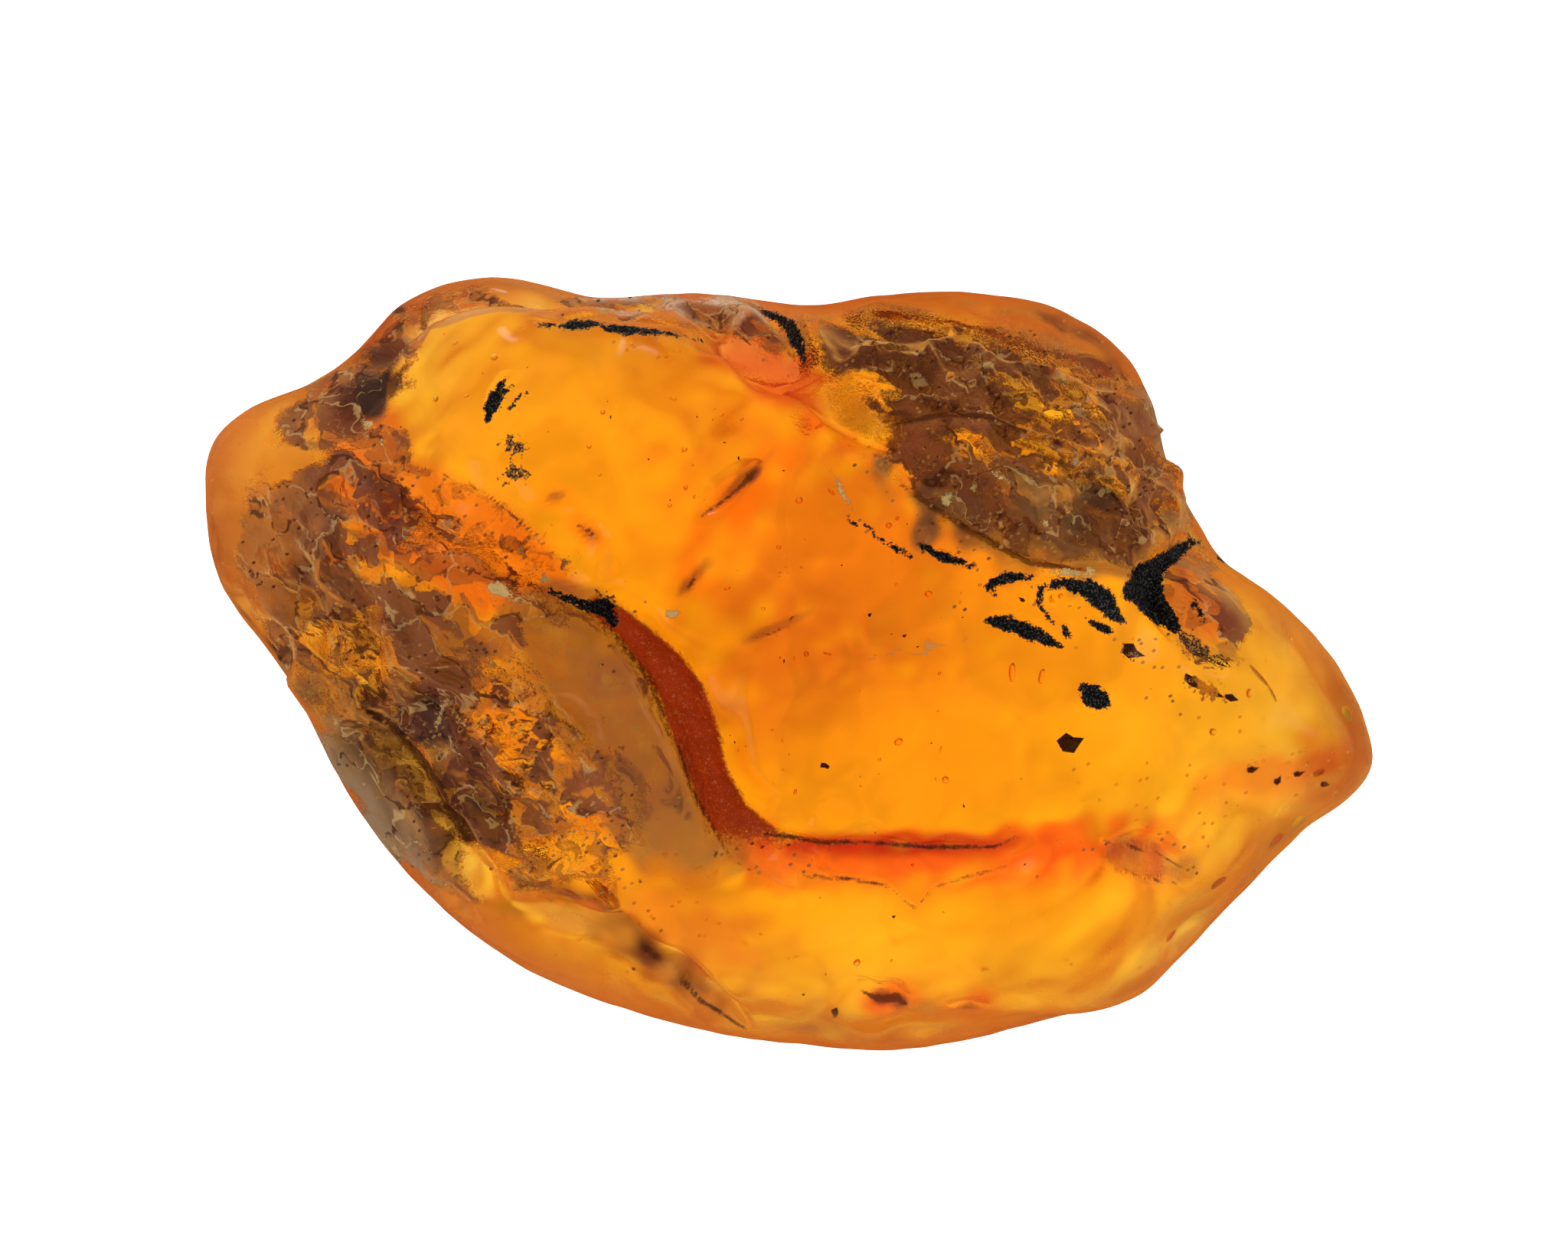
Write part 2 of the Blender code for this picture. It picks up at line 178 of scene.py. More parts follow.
WAVES = ((11.0, 0.22), (5.0, 0.09))
SEED = 11
LATTICE = 64                # flakes along each side of the jittered lattice before it repeats
JITTER = (0.05, 0.95)       # shares of a lattice cell between which its flake's middle lies
CLOUD_BEND = 0.3            # how far each size of cloud bends the next, as a share of its spacing
CLOUD_SPAN = 0.13           # height of the broadest clouds

# What only the fine skin shows: the crust's broken flakes, spacing, turn in degrees, stretch and step height
FLAKE_LAYERS = ((2.1, -30.0, 1.9, 0.3), (0.95, -58.0, 1.7, 0.16))
FLAKE_TILT = 1.1            # how steeply a flake may lean, times its step height over its spacing
FLAKE_FADE = (0.82, 0.95)   # shares of the outline's radius between which the flakes fade
SKIN_WAVE = (1.7, 0.012)    # the polished skin's own faint waves, spacing and height
GROUND_EDGE = 0.25          # how softly the ground face turns into the base

# The floor of the red fold, brick red and rough, between its steep left wall and its soft right one
RED_FLOOR = (
    (-10.4, 2.9), (-8.6, 1.5), (-7.2, -0.3), (-6.5, -1.7), (-5.9, -3.4), (-5.2, -5.2), (-4.4, -7.2),
    (-3.4, -8.8), (-2.0, -10.0), (0.2, -10.9), (2.2, -10.5), (1.6, -9.7), (3.0, -9.1), (1.4, -8.6),
    (-0.6, -8.1), (-2.2, -6.8), (-3.2, -5.0), (-3.6, -3.0), (-4.3, -0.9), (-5.4, 0.6), (-6.8, 1.8),
    (-8.4, 3.0), (-9.6, 3.6),
)
RED_FLOOR_DROP = 0.45
RED_FLOOR_EDGE = (-0.15, 0.45)
RED_FLOOR_GRAIN = (0.9, 0.06)   # spacing and height of its roughness
RED_END = (8.6, 0.25)       # the brick red thins out towards y = -8.6, at this rate
CHAR_DEPTH = 0.12
CHAR_EDGE = (-0.05, 0.2)
SEAM_DEPTH = 0.2
SEAM_EDGE = (-0.15, 0.15)
FAR = 3.0                   # distance beyond which a mark isn't told apart

# Strokes of black char, thin flakes of burnt wood that lie in the skin: x, y and half width at each point
CHAR_STROKES = (
    ((-1.7, 18.1, 0.1), (-0.9, 17.7, 0.25), (-0.1, 17.1, 0.36), (0.3, 16.2, 0.34), (0.6, 15.3, 0.14)),
    ((20.9, 6.4, 0.1), (20.2, 6.2, 0.25), (19.4, 5.7, 0.38), (18.4, 5.1, 0.5), (17.6, 4.3, 0.9),
     (17.8, 3.3, 0.85), (18.5, 2.5, 0.6), (19.1, 1.9, 0.3)),
    ((17.6, 4.3, 0.7), (16.7, 3.7, 0.5)),
    ((12.1, 3.9, 0.15), (13.4, 4.1, 0.3), (14.5, 3.8, 0.5), (15.2, 3.3, 0.6), (15.8, 2.6, 0.42),
     (16.3, 2.2, 0.15)),
    ((14.6, 2.2, 0.15), (15.2, 1.9, 0.28), (15.7, 1.7, 0.12)),
    ((12.1, 3.8, 0.12), (12.0, 3.1, 0.16), (12.5, 2.4, 0.1), (12.8, 2.1, 0.06)),
    ((9.5, 3.8, 0.12), (9.9, 4.15, 0.26), (10.5, 4.4, 0.3), (11.7, 4.4, 0.14)),
    ((9.5, 3.9, 0.1), (9.8, 3.5, 0.12)),
    ((9.6, 2.3, 0.22), (10.4, 2.15, 0.38), (11.3, 1.8, 0.4), (12.3, 1.4, 0.34), (13.1, 1.0, 0.12)),
    ((13.2, 2.0, 0.1), (13.4, 1.6, 0.26)),
    ((2.7, 7.2, 0.12), (3.2, 6.9, 0.1)),
    ((3.5, 7.0, 0.08), (4.0, 6.4, 0.13), (4.9, 5.85, 0.12), (5.7, 5.4, 0.14)),
    ((6.3, 5.9, 0.15), (7.2, 5.4, 0.28), (8.0, 5.2, 0.22), (8.8, 4.9, 0.12)),
    ((14.2, -1.0, 0.2), (14.7, -1.4, 0.6), (15.2, -1.7, 0.45)),
    ((-14.2, 14.2, 0.08), (-14.6, 13.3, 0.3), (-14.8, 12.7, 0.4), (-15.0, 12.1, 0.14)),
    ((-13.8, 13.8, 0.06), (-14.3, 13.2, 0.2), (-14.7, 12.8, 0.1)),
    ((-13.0, 13.5, 0.05), (-13.5, 13.2, 0.12), (-13.9, 12.6, 0.06)),
    ((-12.7, 17.0, 0.12), (-12.0, 16.9, 0.1)),
    ((-11.3, 16.9, 0.25), (-10.4, 17.0, 0.3), (-9.6, 17.1, 0.14)),
    ((-9.2, 16.8, 0.22), (-8.2, 16.7, 0.26), (-7.2, 16.6, 0.2), (-6.0, 16.5, 0.08), (-4.0, 16.1, 0.04)),
    ((-11.8, 3.7, 0.2), (-10.8, 3.3, 0.22), (-9.9, 2.9, 0.3), (-9.2, 3.0, 0.45), (-8.8, 2.2, 0.28)),
    ((21.9, 5.5, 0.12), (22.3, 5.3, 0.16)),
    ((20.0, 3.4, 0.1), (20.1, 3.0, 0.2), (20.6, 2.2, 0.14), (19.9, 1.9, 0.1)),
)

# Dark seams, slits and dents in the skin, and a painted shadow along the red fold's steep left wall:
# x, y and half width at each point
SEAM_AND_SHADOW_STROKES = (
    ((-1.4, -8.2, 0.12), (1.6, -8.6, 0.16), (3.3, -8.6, 0.1), (6.7, -8.85, 0.14), (9.9, -8.85, 0.1),
     (11.1, -8.3, 0.03)),
    ((0.6, -10.3, 0.06), (2.7, -10.4, 0.1), (4.7, -10.8, 0.07), (6.1, -12.0, 0.03)),
    ((6.1, -11.9, 0.02), (7.1, -10.8, 0.05), (9.1, -10.2, 0.06), (10.7, -9.8, 0.02)),
    # painted shadow: the dark border along the steep left wall of the red fold
    ((-9.9, 2.7, 0.12), (-8.6, 1.5, 0.16), (-7.2, -0.3, 0.16), (-6.5, -1.7, 0.14), (-6.0, -3.3, 0.14),
     (-5.6, -3.9, 0.12), (-4.8, -6.2, 0.16), (-3.8, -8.0, 0.12), (-3.0, -9.4, 0.1), (-2.0, -10.0, 0.06)),
    ((-13.4, -11.4, 0.2), (-11.8, -12.2, 0.25), (-9.6, -12.8, 0.16), (-7.8, -13.6, 0.18), (-6.0, -15.0, 0.2),
     (-4.6, -16.9, 0.16), (-2.2, -18.6, 0.06)),
    ((-21.3, -2.0, 0.15), (-19.7, -3.0, 0.25), (-18.0, -5.0, 0.3), (-17.4, -5.8, 0.3), (-16.8, -7.4, 0.25),
     (-15.8, -9.0, 0.15), (-13.8, -11.0, 0.1)),
    ((-28.2, 3.1, 0.12), (-27.1, 1.7, 0.35), (-25.9, 0.3, 0.12)),
    ((-4.4, 7.35, 0.05), (-3.2, 8.2, 0.12), (-2.2, 9.1, 0.2), (-1.76, 9.56, 0.1)),
    ((-5.3, 3.6, 0.08), (-4.8, 4.24, 0.14), (-4.4, 4.9, 0.06)),
    ((-2.2, 1.4, 0.05), (-1.2, 1.6, 0.07), (-0.4, 2.0, 0.09), (0.05, 2.5, 0.04)),
    ((-10.4, 6.9, 0.1), (-9.8, 6.5, 0.2)), ((-11.6, 8.35, 0.08), (-11.4, 8.25, 0.1)),
    ((10.4, -7.6, 0.03), (10.9, -8.1, 0.05)), ((12.9, -8.4, 0.03), (13.3, -8.8, 0.04)),
    ((15.3, -8.6, 0.06), (16.6, -8.9, 0.14), (18.2, -9.4, 0.12), (20.0, -10.3, 0.06)),
    ((16.2, -9.9, 0.06), (17.8, -10.6, 0.12), (19.6, -11.0, 0.05)),
    ((-17.2, 9.5, 0.04), (-15.6, 8.7, 0.1), (-14.2, 7.9, 0.08), (-12.8, 6.6, 0.12), (-11.6, 5.4, 0.08)),
    ((3.5, -16.3, 0.08), (4.4, -16.7, 0.26), (5.2, -16.6, 0.3), (5.7, -17.0, 0.12)),
    ((8.3, -17.2, 0.08), (9.0, -17.1, 0.2), (9.6, -17.3, 0.08)),
    ((4.6, 12.3, 0.1), (4.1, 11.3, 0.12), (5.0, 10.6, 0.12), (4.0, 10.3, 0.08)),
    ((5.3, 8.9, 0.08), (6.7, 7.9, 0.16), (8.7, 6.6, 0.2), (9.9, 6.0, 0.22), (11.5, 5.1, 0.2),
     (14.6, 4.7, 0.12)),
    ((4.6, 11.9, 0.1), (7.6, 12.4, 0.2), (9.6, 12.3, 0.16), (12.4, 11.2, 0.12), (15.2, 10.2, 0.1),
     (18.6, 8.9, 0.05)),
)

# Speckled, broken char and dark brown flakes: x, y, half length, half width, turn in degrees
CHAR_SPECKLES = (
    (-13.6, 10.8, 0.9, 0.7, 0.0), (-13.6, 9.4, 0.8, 0.7, 30.0), (-12.4, 8.4, 0.3, 0.3, 0.0),
    (16.5, 0.7, 0.8, 0.35, -20.0), (20.2, 0.8, 1.7, 0.7, -42.0), (20.6, -1.1, 1.5, 0.7, -28.0),
    (-9.0, 3.2, 0.9, 0.5, -40.0),
)

# Crust painted into the skin besides those fields: x, y, half length, half width, turn in degrees
CRUST_PATCHES = (
    (-24.2, 7.6, 3.4, 2.2, 60.0), (-24.6, 2.0, 4.6, 2.0, -62.0), (-21.5, 7.6, 4.2, 3.0, -35.0),
    (-22.6, 13.0, 4.0, 1.9, 40.0), (-16.6, 3.6, 5.0, 2.6, -30.0), (20.4, 3.2, 3.2, 2.0, -60.0),
    (-10.6, -8.6, 4.0, 1.9, 25.0), (-20.4, -6.4, 5.4, 2.0, -52.0), (-3.4, 17.6, 3.2, 1.2, -15.0),
    (-10.0, 18.5, 4.5, 0.6, 2.0), (-20.2, 15.8, 3.8, 1.1, 50.0), (-16.0, 18.6, 3.4, 0.4, 8.0),
)

# Clear windows in the crust: x, y, half length, half width, turn in degrees
WINDOWS = ((2.9, 12.6, 2.4, 1.3, -24.0),)

# Zones of dense skin, from clear amber at 0 to one that lets nothing through at 1: x, y, half length,
# half width, turn, softness, density
DENSE_ZONES = (
    (-21.2, 13.9, 1.9, 1.2, 60.0, 0.4, 1.2),        # a dark facet behind the top left border
    (-27.4, 7.2, 2.4, 5.6, 5.0, 0.6, 0.6),          # the milky brown ear
    (-20.2, -6.6, 6.4, 2.4, -52.0, 0.4, 0.72),      # the dark olive flank
    (11.8, 7.2, 6.6, 2.6, -12.0, 0.2, 0.93),        # the polished olive lobe of the crust
    (-21.0, 1.2, 2.0, 1.4, 80.0, 0.3, 0.3),         # the scooped pocket, nearly clear
    (17.8, -9.7, 2.3, 0.9, -16.0, 0.3, 0.85),       # the sunken red pocket
    (-18.0, -2.8, 2.9, 1.5, -48.0, 0.3, 0.9), (-15.7, -6.2, 2.9, 1.4, -62.0, 0.3, 0.85),
    (-18.4, -5.6, 4.6, 0.8, -54.0, 0.4, 0.9), (13.6, 15.8, 4.6, 1.6, -16.0, 0.5, 0.35),
    (-8.2, -13.5, 4.4, 0.8, -37.0, 0.5, 1.0), (-11.8, -12.2, 2.2, 0.5, -28.0, 0.5, 0.95),
    (-12.4, -11.2, 1.5, 0.8, -30.0, 0.3, 0.9), (-16.6, -11.8, 1.3, 0.6, -42.0, 0.3, 0.8),
    (-4.5, 17.6, 1.7, 0.8, 0.0, 0.3, 0.75), (20.5, 3.0, 3.0, 1.8, -62.0, 0.4, 0.45),
    (4.5, -16.6, 0.5, 0.35, 0.0, 0.5, 0.9), (5.4, -16.9, 0.4, 0.35, 0.0, 0.5, 0.9),
    (9.0, -17.2, 0.6, 0.3, 0.0, 0.6, 0.7), (0.8, -18.4, 0.5, 0.25, 0.0, 0.4, 0.6),
    (-2.6, 8.9, 1.7, 0.3, 44.0, 0.5, 0.6), (-1.9, 9.4, 0.6, 0.28, 50.0, 0.4, 0.9),
    (-4.8, 4.3, 0.9, 0.25, 50.0, 0.5, 0.7), (-10.0, 6.6, 0.55, 0.28, -40.0, 0.5, 0.7),
    (-11.5, 8.3, 0.35, 0.2, 0.0, 0.6, 0.6), (-0.9, 1.9, 1.3, 0.2, 24.0, 0.5, 0.5),
)

# Zones whose skin was never polished: x, y, half length, half width, turn, softness, roughness
ROUGH_ZONES = (
    (8.0, 14.0, 9.0, 3.4, -12.0, 0.3, 0.9), (16.0, 11.0, 4.6, 3.4, -40.0, 0.3, 0.8),
    (5.5, 10.4, 2.4, 1.8, -30.0, 0.4, 0.8), (12.0, 4.6, 3.0, 0.5, -4.0, 0.4, 0.8),
    (-21.0, 1.2, 2.6, 1.9, 80.0, 0.3, 0.75), (-18.0, -2.6, 3.2, 2.0, -50.0, 0.4, 0.7),
    (-25.0, 3.0, 3.6, 1.8, -60.0, 0.4, 0.7), (-22.0, 13.4, 3.0, 1.6, 40.0, 0.4, 0.6),
    (-11.2, -8.6, 3.6, 1.6, 25.0, 0.4, 0.7), (-4.5, 17.4, 2.0, 1.0, 0.0, 0.4, 0.8),
    (17.8, -9.6, 2.4, 1.0, -16.0, 0.3, 0.8), (-16.5, 3.8, 5.0, 2.2, -30.0, 0.4, 0.4),
)

# Zones where the clear amber is cloudy: x, y, half length, half width, turn, softness, cloudiness
CLOUDY_ZONES = (
    (-13.0, -13.6, 6.5, 3.0, -35.0, 0.6, 0.6), (-26.0, 8.0, 4.0, 5.5, 5.0, 0.5, 0.6),
    (24.5, -4.0, 5.0, 4.6, -50.0, 0.6, 0.35), (18.4, -6.6, 4.0, 1.6, -18.0, 0.6, 0.8),
    (-9.0, 15.0, 9.0, 1.4, -6.0, 0.6, 0.3), (-3.0, -12.6, 5.0, 2.6, -20.0, 0.7, 0.4),
    (2.9, 12.7, 2.2, 1.3, -20.0, 0.5, 0.9), (13.0, -14.0, 5.0, 3.0, 20.0, 0.8, 0.7),
)

# Zones strewn with tiny specks of gold and brown: x, y, half length, half width, turn, softness, how many
SPECK_ZONES = (
    (-20.6, -7.0, 7.5, 3.0, -52.0, 0.5, 0.7), (-16.0, -2.0, 9.0, 7.0, -40.0, 0.5, 0.8),
    (-17.4, 7.6, 6.0, 2.4, -40.0, 0.3, 0.8), (12.0, 10.5, 8.5, 6.5, -20.0, 0.4, 0.9),
    (-9.0, -9.5, 5.0, 2.6, -25.0, 0.6, 0.8), (24.8, -5.6, 4.4, 1.4, 14.0, 0.6, 0.8),
    (18.6, -6.8, 4.4, 1.8, -18.0, 0.6, 0.5), (19.6, -0.6, 3.4, 1.6, -35.0, 0.6, 0.6),
    (-25.0, 8.0, 4.0, 4.0, 0.0, 0.6, 0.7), (17.8, -9.6, 3.4, 1.7, -14.0, 0.6, 0.7),
    (-1.0, -9.4, 3.0, 1.4, -20.0, 0.6, 0.6), (-6.0, 17.2, 6.0, 1.6, -4.0, 0.6, 0.6),
    (-13.0, -14.0, 7.0, 2.0, -35.0, 0.6, 0.3),
)

# Cream and gold chips that catch the light: x, y, half length, half width, turn in degrees
CREAM_CHIPS = (
    (-5.8, 2.6, 0.4, 0.25, 20.0), (7.5, 8.2, 0.4, 0.3, 40.0), (8.9, 8.7, 0.4, 0.2, -40.0),
    (9.9, 9.4, 0.7, 0.12, -30.0), (12.3, 7.0, 0.25, 0.2, 0.0), (13.6, 4.6, 1.3, 0.2, -6.0),
    (14.6, 4.7, 0.3, 0.25, 0.0), (-14.2, 1.8, 0.35, 0.12, 30.0), (-21.2, 12.1, 0.4, 0.3, -30.0),
    (-20.5, 11.1, 0.25, 0.2, 0.0), (-14.3, 3.8, 0.8, 0.4, -20.0), (-13.2, 3.2, 0.6, 0.2, -10.0),
    (-12.6, 4.9, 0.3, 0.2, -20.0), (-12.1, 4.3, 0.35, 0.25, -20.0), (-11.9, -12.3, 0.5, 0.2, -35.0),
    (2.4, 8.6, 0.9, 0.18, -60.0), (10.2, 5.9, 0.2, 0.15, 0.0),
)

# Thin gold and cream cracks over the crust: routes
GOLD_CRACKS = (
    ((-21.1, 3.2), (-19.9, 3.3), (-19.3, 2.6), (-19.4, 1.2), (-19.4, 0.0), (-20.0, -1.2), (-21.0, -2.3)),
    ((-19.4, 0.0), (-18.0, -0.3), (-16.8, 0.2), (-15.8, -0.6)),
    ((-17.0, -4.4), (-17.6, -3.4), (-17.2, -2.2), (-16.4, -1.0)),
    ((-13.4, -0.8), (-12.6, -2.0), (-13.2, -3.2), (-12.0, -4.6), (-11.2, -6.4)),
    ((-14.8, 0.6), (-14.2, -1.4), (-15.0, -3.2), (-14.4, -5.0), (-13.6, -6.6)),
    ((-11.6, -1.6), (-10.6, -2.8), (-10.8, -4.2), (-9.4, -5.2)),
    ((-12.4, -6.9), (-10.9, -7.2), (-9.6, -6.4), (-8.0, -6.8)),
    ((-22.4, 5.0), (-21.0, 4.0), (-19.6, 4.2), (-18.2, 3.4)),
    ((-24.6, 6.4), (-23.6, 4.6), (-23.8, 2.8), (-22.6, 1.0), (-23.0, -0.8)),
    ((2.6, 16.0), (4.8, 16.4), (6.4, 15.6), (8.6, 15.4), (10.4, 14.4)),
    ((3.4, 14.8), (5.2, 14.9), (6.6, 14.0), (8.4, 14.2), (9.0, 12.9)),
    ((9.2, 12.6), (10.8, 11.7), (12.6, 11.4), (13.4, 10.4), (15.6, 9.6), (17.6, 8.4)),
    ((11.4, 13.4), (13.4, 12.6), (15.6, 12.2), (17.4, 10.6), (19.0, 9.6)),
    ((3.7, 0.5), (5.3, 0.7), (6.6, 1.0), (7.7, 1.2), (8.3, 1.35)),
)

# Tints of the skin over clear amber: the shares of red, green and blue light that come through it
GOLD = (0.98, 0.97, 0.6)
YELLOW = (1.0, 1.0, 0.6)
RED_GLOW = (0.88, 0.25, 0.3)
OLIVE = (0.88, 0.88, 0.35)
SMOKE = (0.46, 0.38, 0.5)
# Round the edge the skin lets more light through than on the flats: a painted glow that makes the thin rims
# brighter
FLAT_SHADE_SHARE = 0.88               # what every flat part of the skin lets through besides
RIM_GLOW_SHARE = (1.0, 0.97, 0.6)          # what the sloping skin round the edge lets through besides
# The sloping rim also gets a dense milky skin in colours of its own, partly cloudy amber and partly a painted
# glow of the thin rims
RIM_DENSITY = 0.85              # how dense that skin is
RIM_CLOUD = 0.45                # how cloudy that skin is
RIM_REACH = (0.72, 0.88)        # shares of the outline's radius between which that skin begins
RIM_SLOPE = (0.3, 0.74)         # upright share of the normal where it is whole, and where it starts
UNDER_CLOUD = 0.95              # how cloudy the under side is, which was ground and never polished
UPPER_EDGE = (-0.15, 0.1)       # upright share of the normal between which the under side turns to the upper
HIDDEN = 3.0                    # what takes a mark off the under side

# x, y, half length, half width, turn, softness, tint, strength
TINT_ZONES = (
    (-8.0, 9.5, 12.0, 7.0, -22.0, 0.6, (0.93, 0.87, 0.8), 0.8),
    (-14.5, 13.0, 5.0, 4.0, -60.0, 0.7, (0.86, 0.8, 0.8), 0.7),
    (-6.0, 12.8, 6.0, 2.4, -8.0, 0.7, (0.93, 0.82, 0.8), 0.7),
    (-5.0, 7.2, 9.0, 3.4, -32.0, 0.8, (1.0, 0.98, 0.9), 0.8),
    (3.8, 4.5, 9.5, 5.6, -34.0, 0.6, (0.8, 0.48, 0.8), 0.85),
    (0.5, -1.2, 4.8, 4.2, -50.0, 0.7, (0.66, 0.38, 0.9), 0.8),
    (13.5, 1.0, 6.5, 3.2, -16.0, 0.6, (0.97, 0.88, 0.8), 0.7),
    (6.5, -4.8, 7.0, 3.4, 4.0, 0.6, (0.96, 0.87, 0.7), 0.9),
    (9.5, -9.8, 8.6, 1.6, 2.0, 0.6, (0.9, 0.28, 0.6), 0.9),
    (4.6, -9.6, 5.8, 1.4, -3.0, 0.5, (0.88, 0.24, 0.6), 0.8),
    (13.4, -9.2, 2.4, 1.2, 0.0, 0.6, (0.94, 0.3, 0.6), 0.8),
    (-1.4, -9.4, 2.8, 1.3, -22.0, 0.5, (0.8, 0.3, 0.7), 0.9),
    (4.8, -8.8, 6.6, 0.6, 0.0, 0.7, (0.5, 0.04, 0.4), 0.9),
    (6.3, -11.6, 1.4, 0.7, -80.0, 0.7, RED_GLOW, 0.8),
    (17.8, -9.6, 3.0, 1.7, -14.0, 0.6, (0.8, 0.16, 0.4), 0.9),
    (6.0, -14.6, 10.5, 3.6, 2.0, 0.7, YELLOW, 0.9),
    (14.5, -13.4, 4.5, 2.6, 35.0, 0.8, (1.0, 0.97, 0.4), 0.8),
    (23.4, -2.2, 5.4, 4.4, -50.0, 0.6, (0.88, 0.84, 0.6), 0.8),
    (27.4, -3.6, 2.6, 2.0, -60.0, 0.6, (0.85, 0.72, 0.3), 0.8),
    (18.5, -6.0, 3.4, 1.1, -18.0, 0.7, OLIVE, 0.8),
    (13.5, -3.8, 1.6, 1.1, 0.0, 0.7, (0.82, 0.86, 0.5), 0.7),
    (24.6, -5.6, 4.4, 1.3, 14.0, 0.6, (0.84, 0.38, 0.3), 0.8),
    (21.5, -10.0, 3.6, 2.2, 45.0, 0.7, (0.95, 0.92, 0.35), 0.7),
    (8.0, -19.2, 13.0, 0.9, 8.0, 0.7, (0.85, 0.55, 0.2), 0.9),
    (4.8, -16.7, 1.4, 0.9, 0.0, 0.8, RED_GLOW, 0.9),
    (9.0, -17.1, 1.2, 0.7, 10.0, 0.8, (0.93, 0.4, 0.4), 0.9),
    (-22.8, 8.2, 4.2, 4.2, -40.0, 0.6, (0.66, 0.42, 0.4), 0.8),
    (-27.6, 8.0, 2.0, 4.4, 5.0, 0.6, (0.9, 0.74, 0.3), 0.8),
    (-27.2, 11.8, 1.4, 1.0, 20.0, 0.5, (1.0, 1.0, 0.5), 0.9),
    (-20.6, 16.4, 3.4, 1.4, 52.0, 0.6, (0.6, 0.4, 0.3), 0.9),
    (-2.4, 8.5, 2.6, 0.9, 44.0, 0.8, (0.93, 0.45, 0.4), 0.8),
    (3.0, 12.6, 2.2, 1.1, -24.0, 0.6, (1.0, 0.9, 0.6), 1.0),
    (-4.9, 4.2, 1.2, 0.8, 50.0, 0.8, (0.93, 0.5, 0.5), 0.75),
    (-10.0, 6.6, 1.0, 0.6, -40.0, 0.8, (0.93, 0.5, 0.5), 0.75),
    (-11.5, 8.3, 0.8, 0.5, 0.0, 0.8, (0.93, 0.55, 0.5), 0.6),
    (-0.8, 14.6, 5.2, 1.5, -38.0, 0.5, (0.76, 0.28, 0.5), 0.95),
    (-6.8, 17.0, 5.0, 1.0, -6.0, 0.6, (0.75, 0.55, 0.5), 0.6),
    (10.0, 18.2, 8.0, 1.2, -6.0, 0.6, (0.85, 0.72, 0.35), 0.8),
    (13.8, 15.8, 4.8, 1.6, -22.0, 0.6, (0.75, 0.5, 0.3), 0.8),
    (-14.6, -2.6, 3.2, 4.0, -55.0, 0.5, (0.9, 0.75, 0.6), 0.8),
    (-17.6, 1.6, 3.4, 2.6, -30.0, 0.5, (0.5, 0.4, 0.5), 0.8),
    (-20.4, -6.0, 6.6, 3.0, -52.0, 0.5, (0.5, 0.5, 0.4), 0.9),
    (-13.0, -13.6, 6.0, 2.2, -35.0, 0.7, (0.98, 0.96, 0.6), 0.7),
    (-5.0, -12.8, 4.4, 2.0, -30.0, 0.7, (0.74, 0.46, 0.7), 0.85),
    (-5.6, -8.6, 3.0, 2.2, -30.0, 0.6, (0.55, 0.46, 0.6), 0.8),
    (-8.2, -13.5, 4.4, 0.9, -37.0, 0.6, (0.36, 0.16, 0.3), 0.9),
    (20.2, 3.4, 2.6, 1.7, -60.0, 0.5, (0.86, 0.46, 0.4), 0.9),
    (2.9, 12.7, 2.0, 1.1, -20.0, 0.4, (1.0, 0.84, 0.8), 1.0),
)

# The orange-red crusty band left of the main face, and the polished brown lobe left of the red fold
BAND = (
    (-20.6, 13.4), (-19.7, 12.6), (-19.0, 11.4), (-18.8, 10.4), (-17.2, 9.6), (-15.6, 8.8), (-14.2, 8.0),
    (-12.8, 6.7), (-11.8, 5.9), (-11.0, 4.7), (-10.2, 3.4), (-12.4, 3.4), (-15.0, 2.6), (-18.0, 4.4),
    (-20.6, 6.0), (-23.0, 9.0), (-23.4, 12.5),
)
LOBE = (
    (-13.4, 2.4), (-11.6, 3.2), (-9.9, 2.8), (-8.6, 1.6), (-7.2, -0.2), (-6.4, -1.7), (-5.9, -3.3),
    (-5.5, -3.9), (-4.7, -6.2), (-3.7, -8.0), (-3.2, -9.2), (-4.4, -9.8), (-6.6, -9.2), (-8.2, -7.2),
    (-9.4, -4.8), (-11.0, -2.6), (-13.0, -0.4),
)
LOBE_DENSITY = 0.62
LOBE_EDGE = (-1.4, -0.8)
LOBE_BORDER = 0.4               # how far the crust may reach into the lobe
BAND_EDGE = (-0.4, 0.6)
BAND_CRUST = 0.1                # how thick the band's crust gets
BAND_LIT = 0.2                  # how much brighter its layers are

# Border, softness of the border, tint, strength
TINT_AREAS = ((BAND, 0.5, (0.84, 0.45, 0.5), 0.9), (LOBE, 0.6, SMOKE, 0.9))

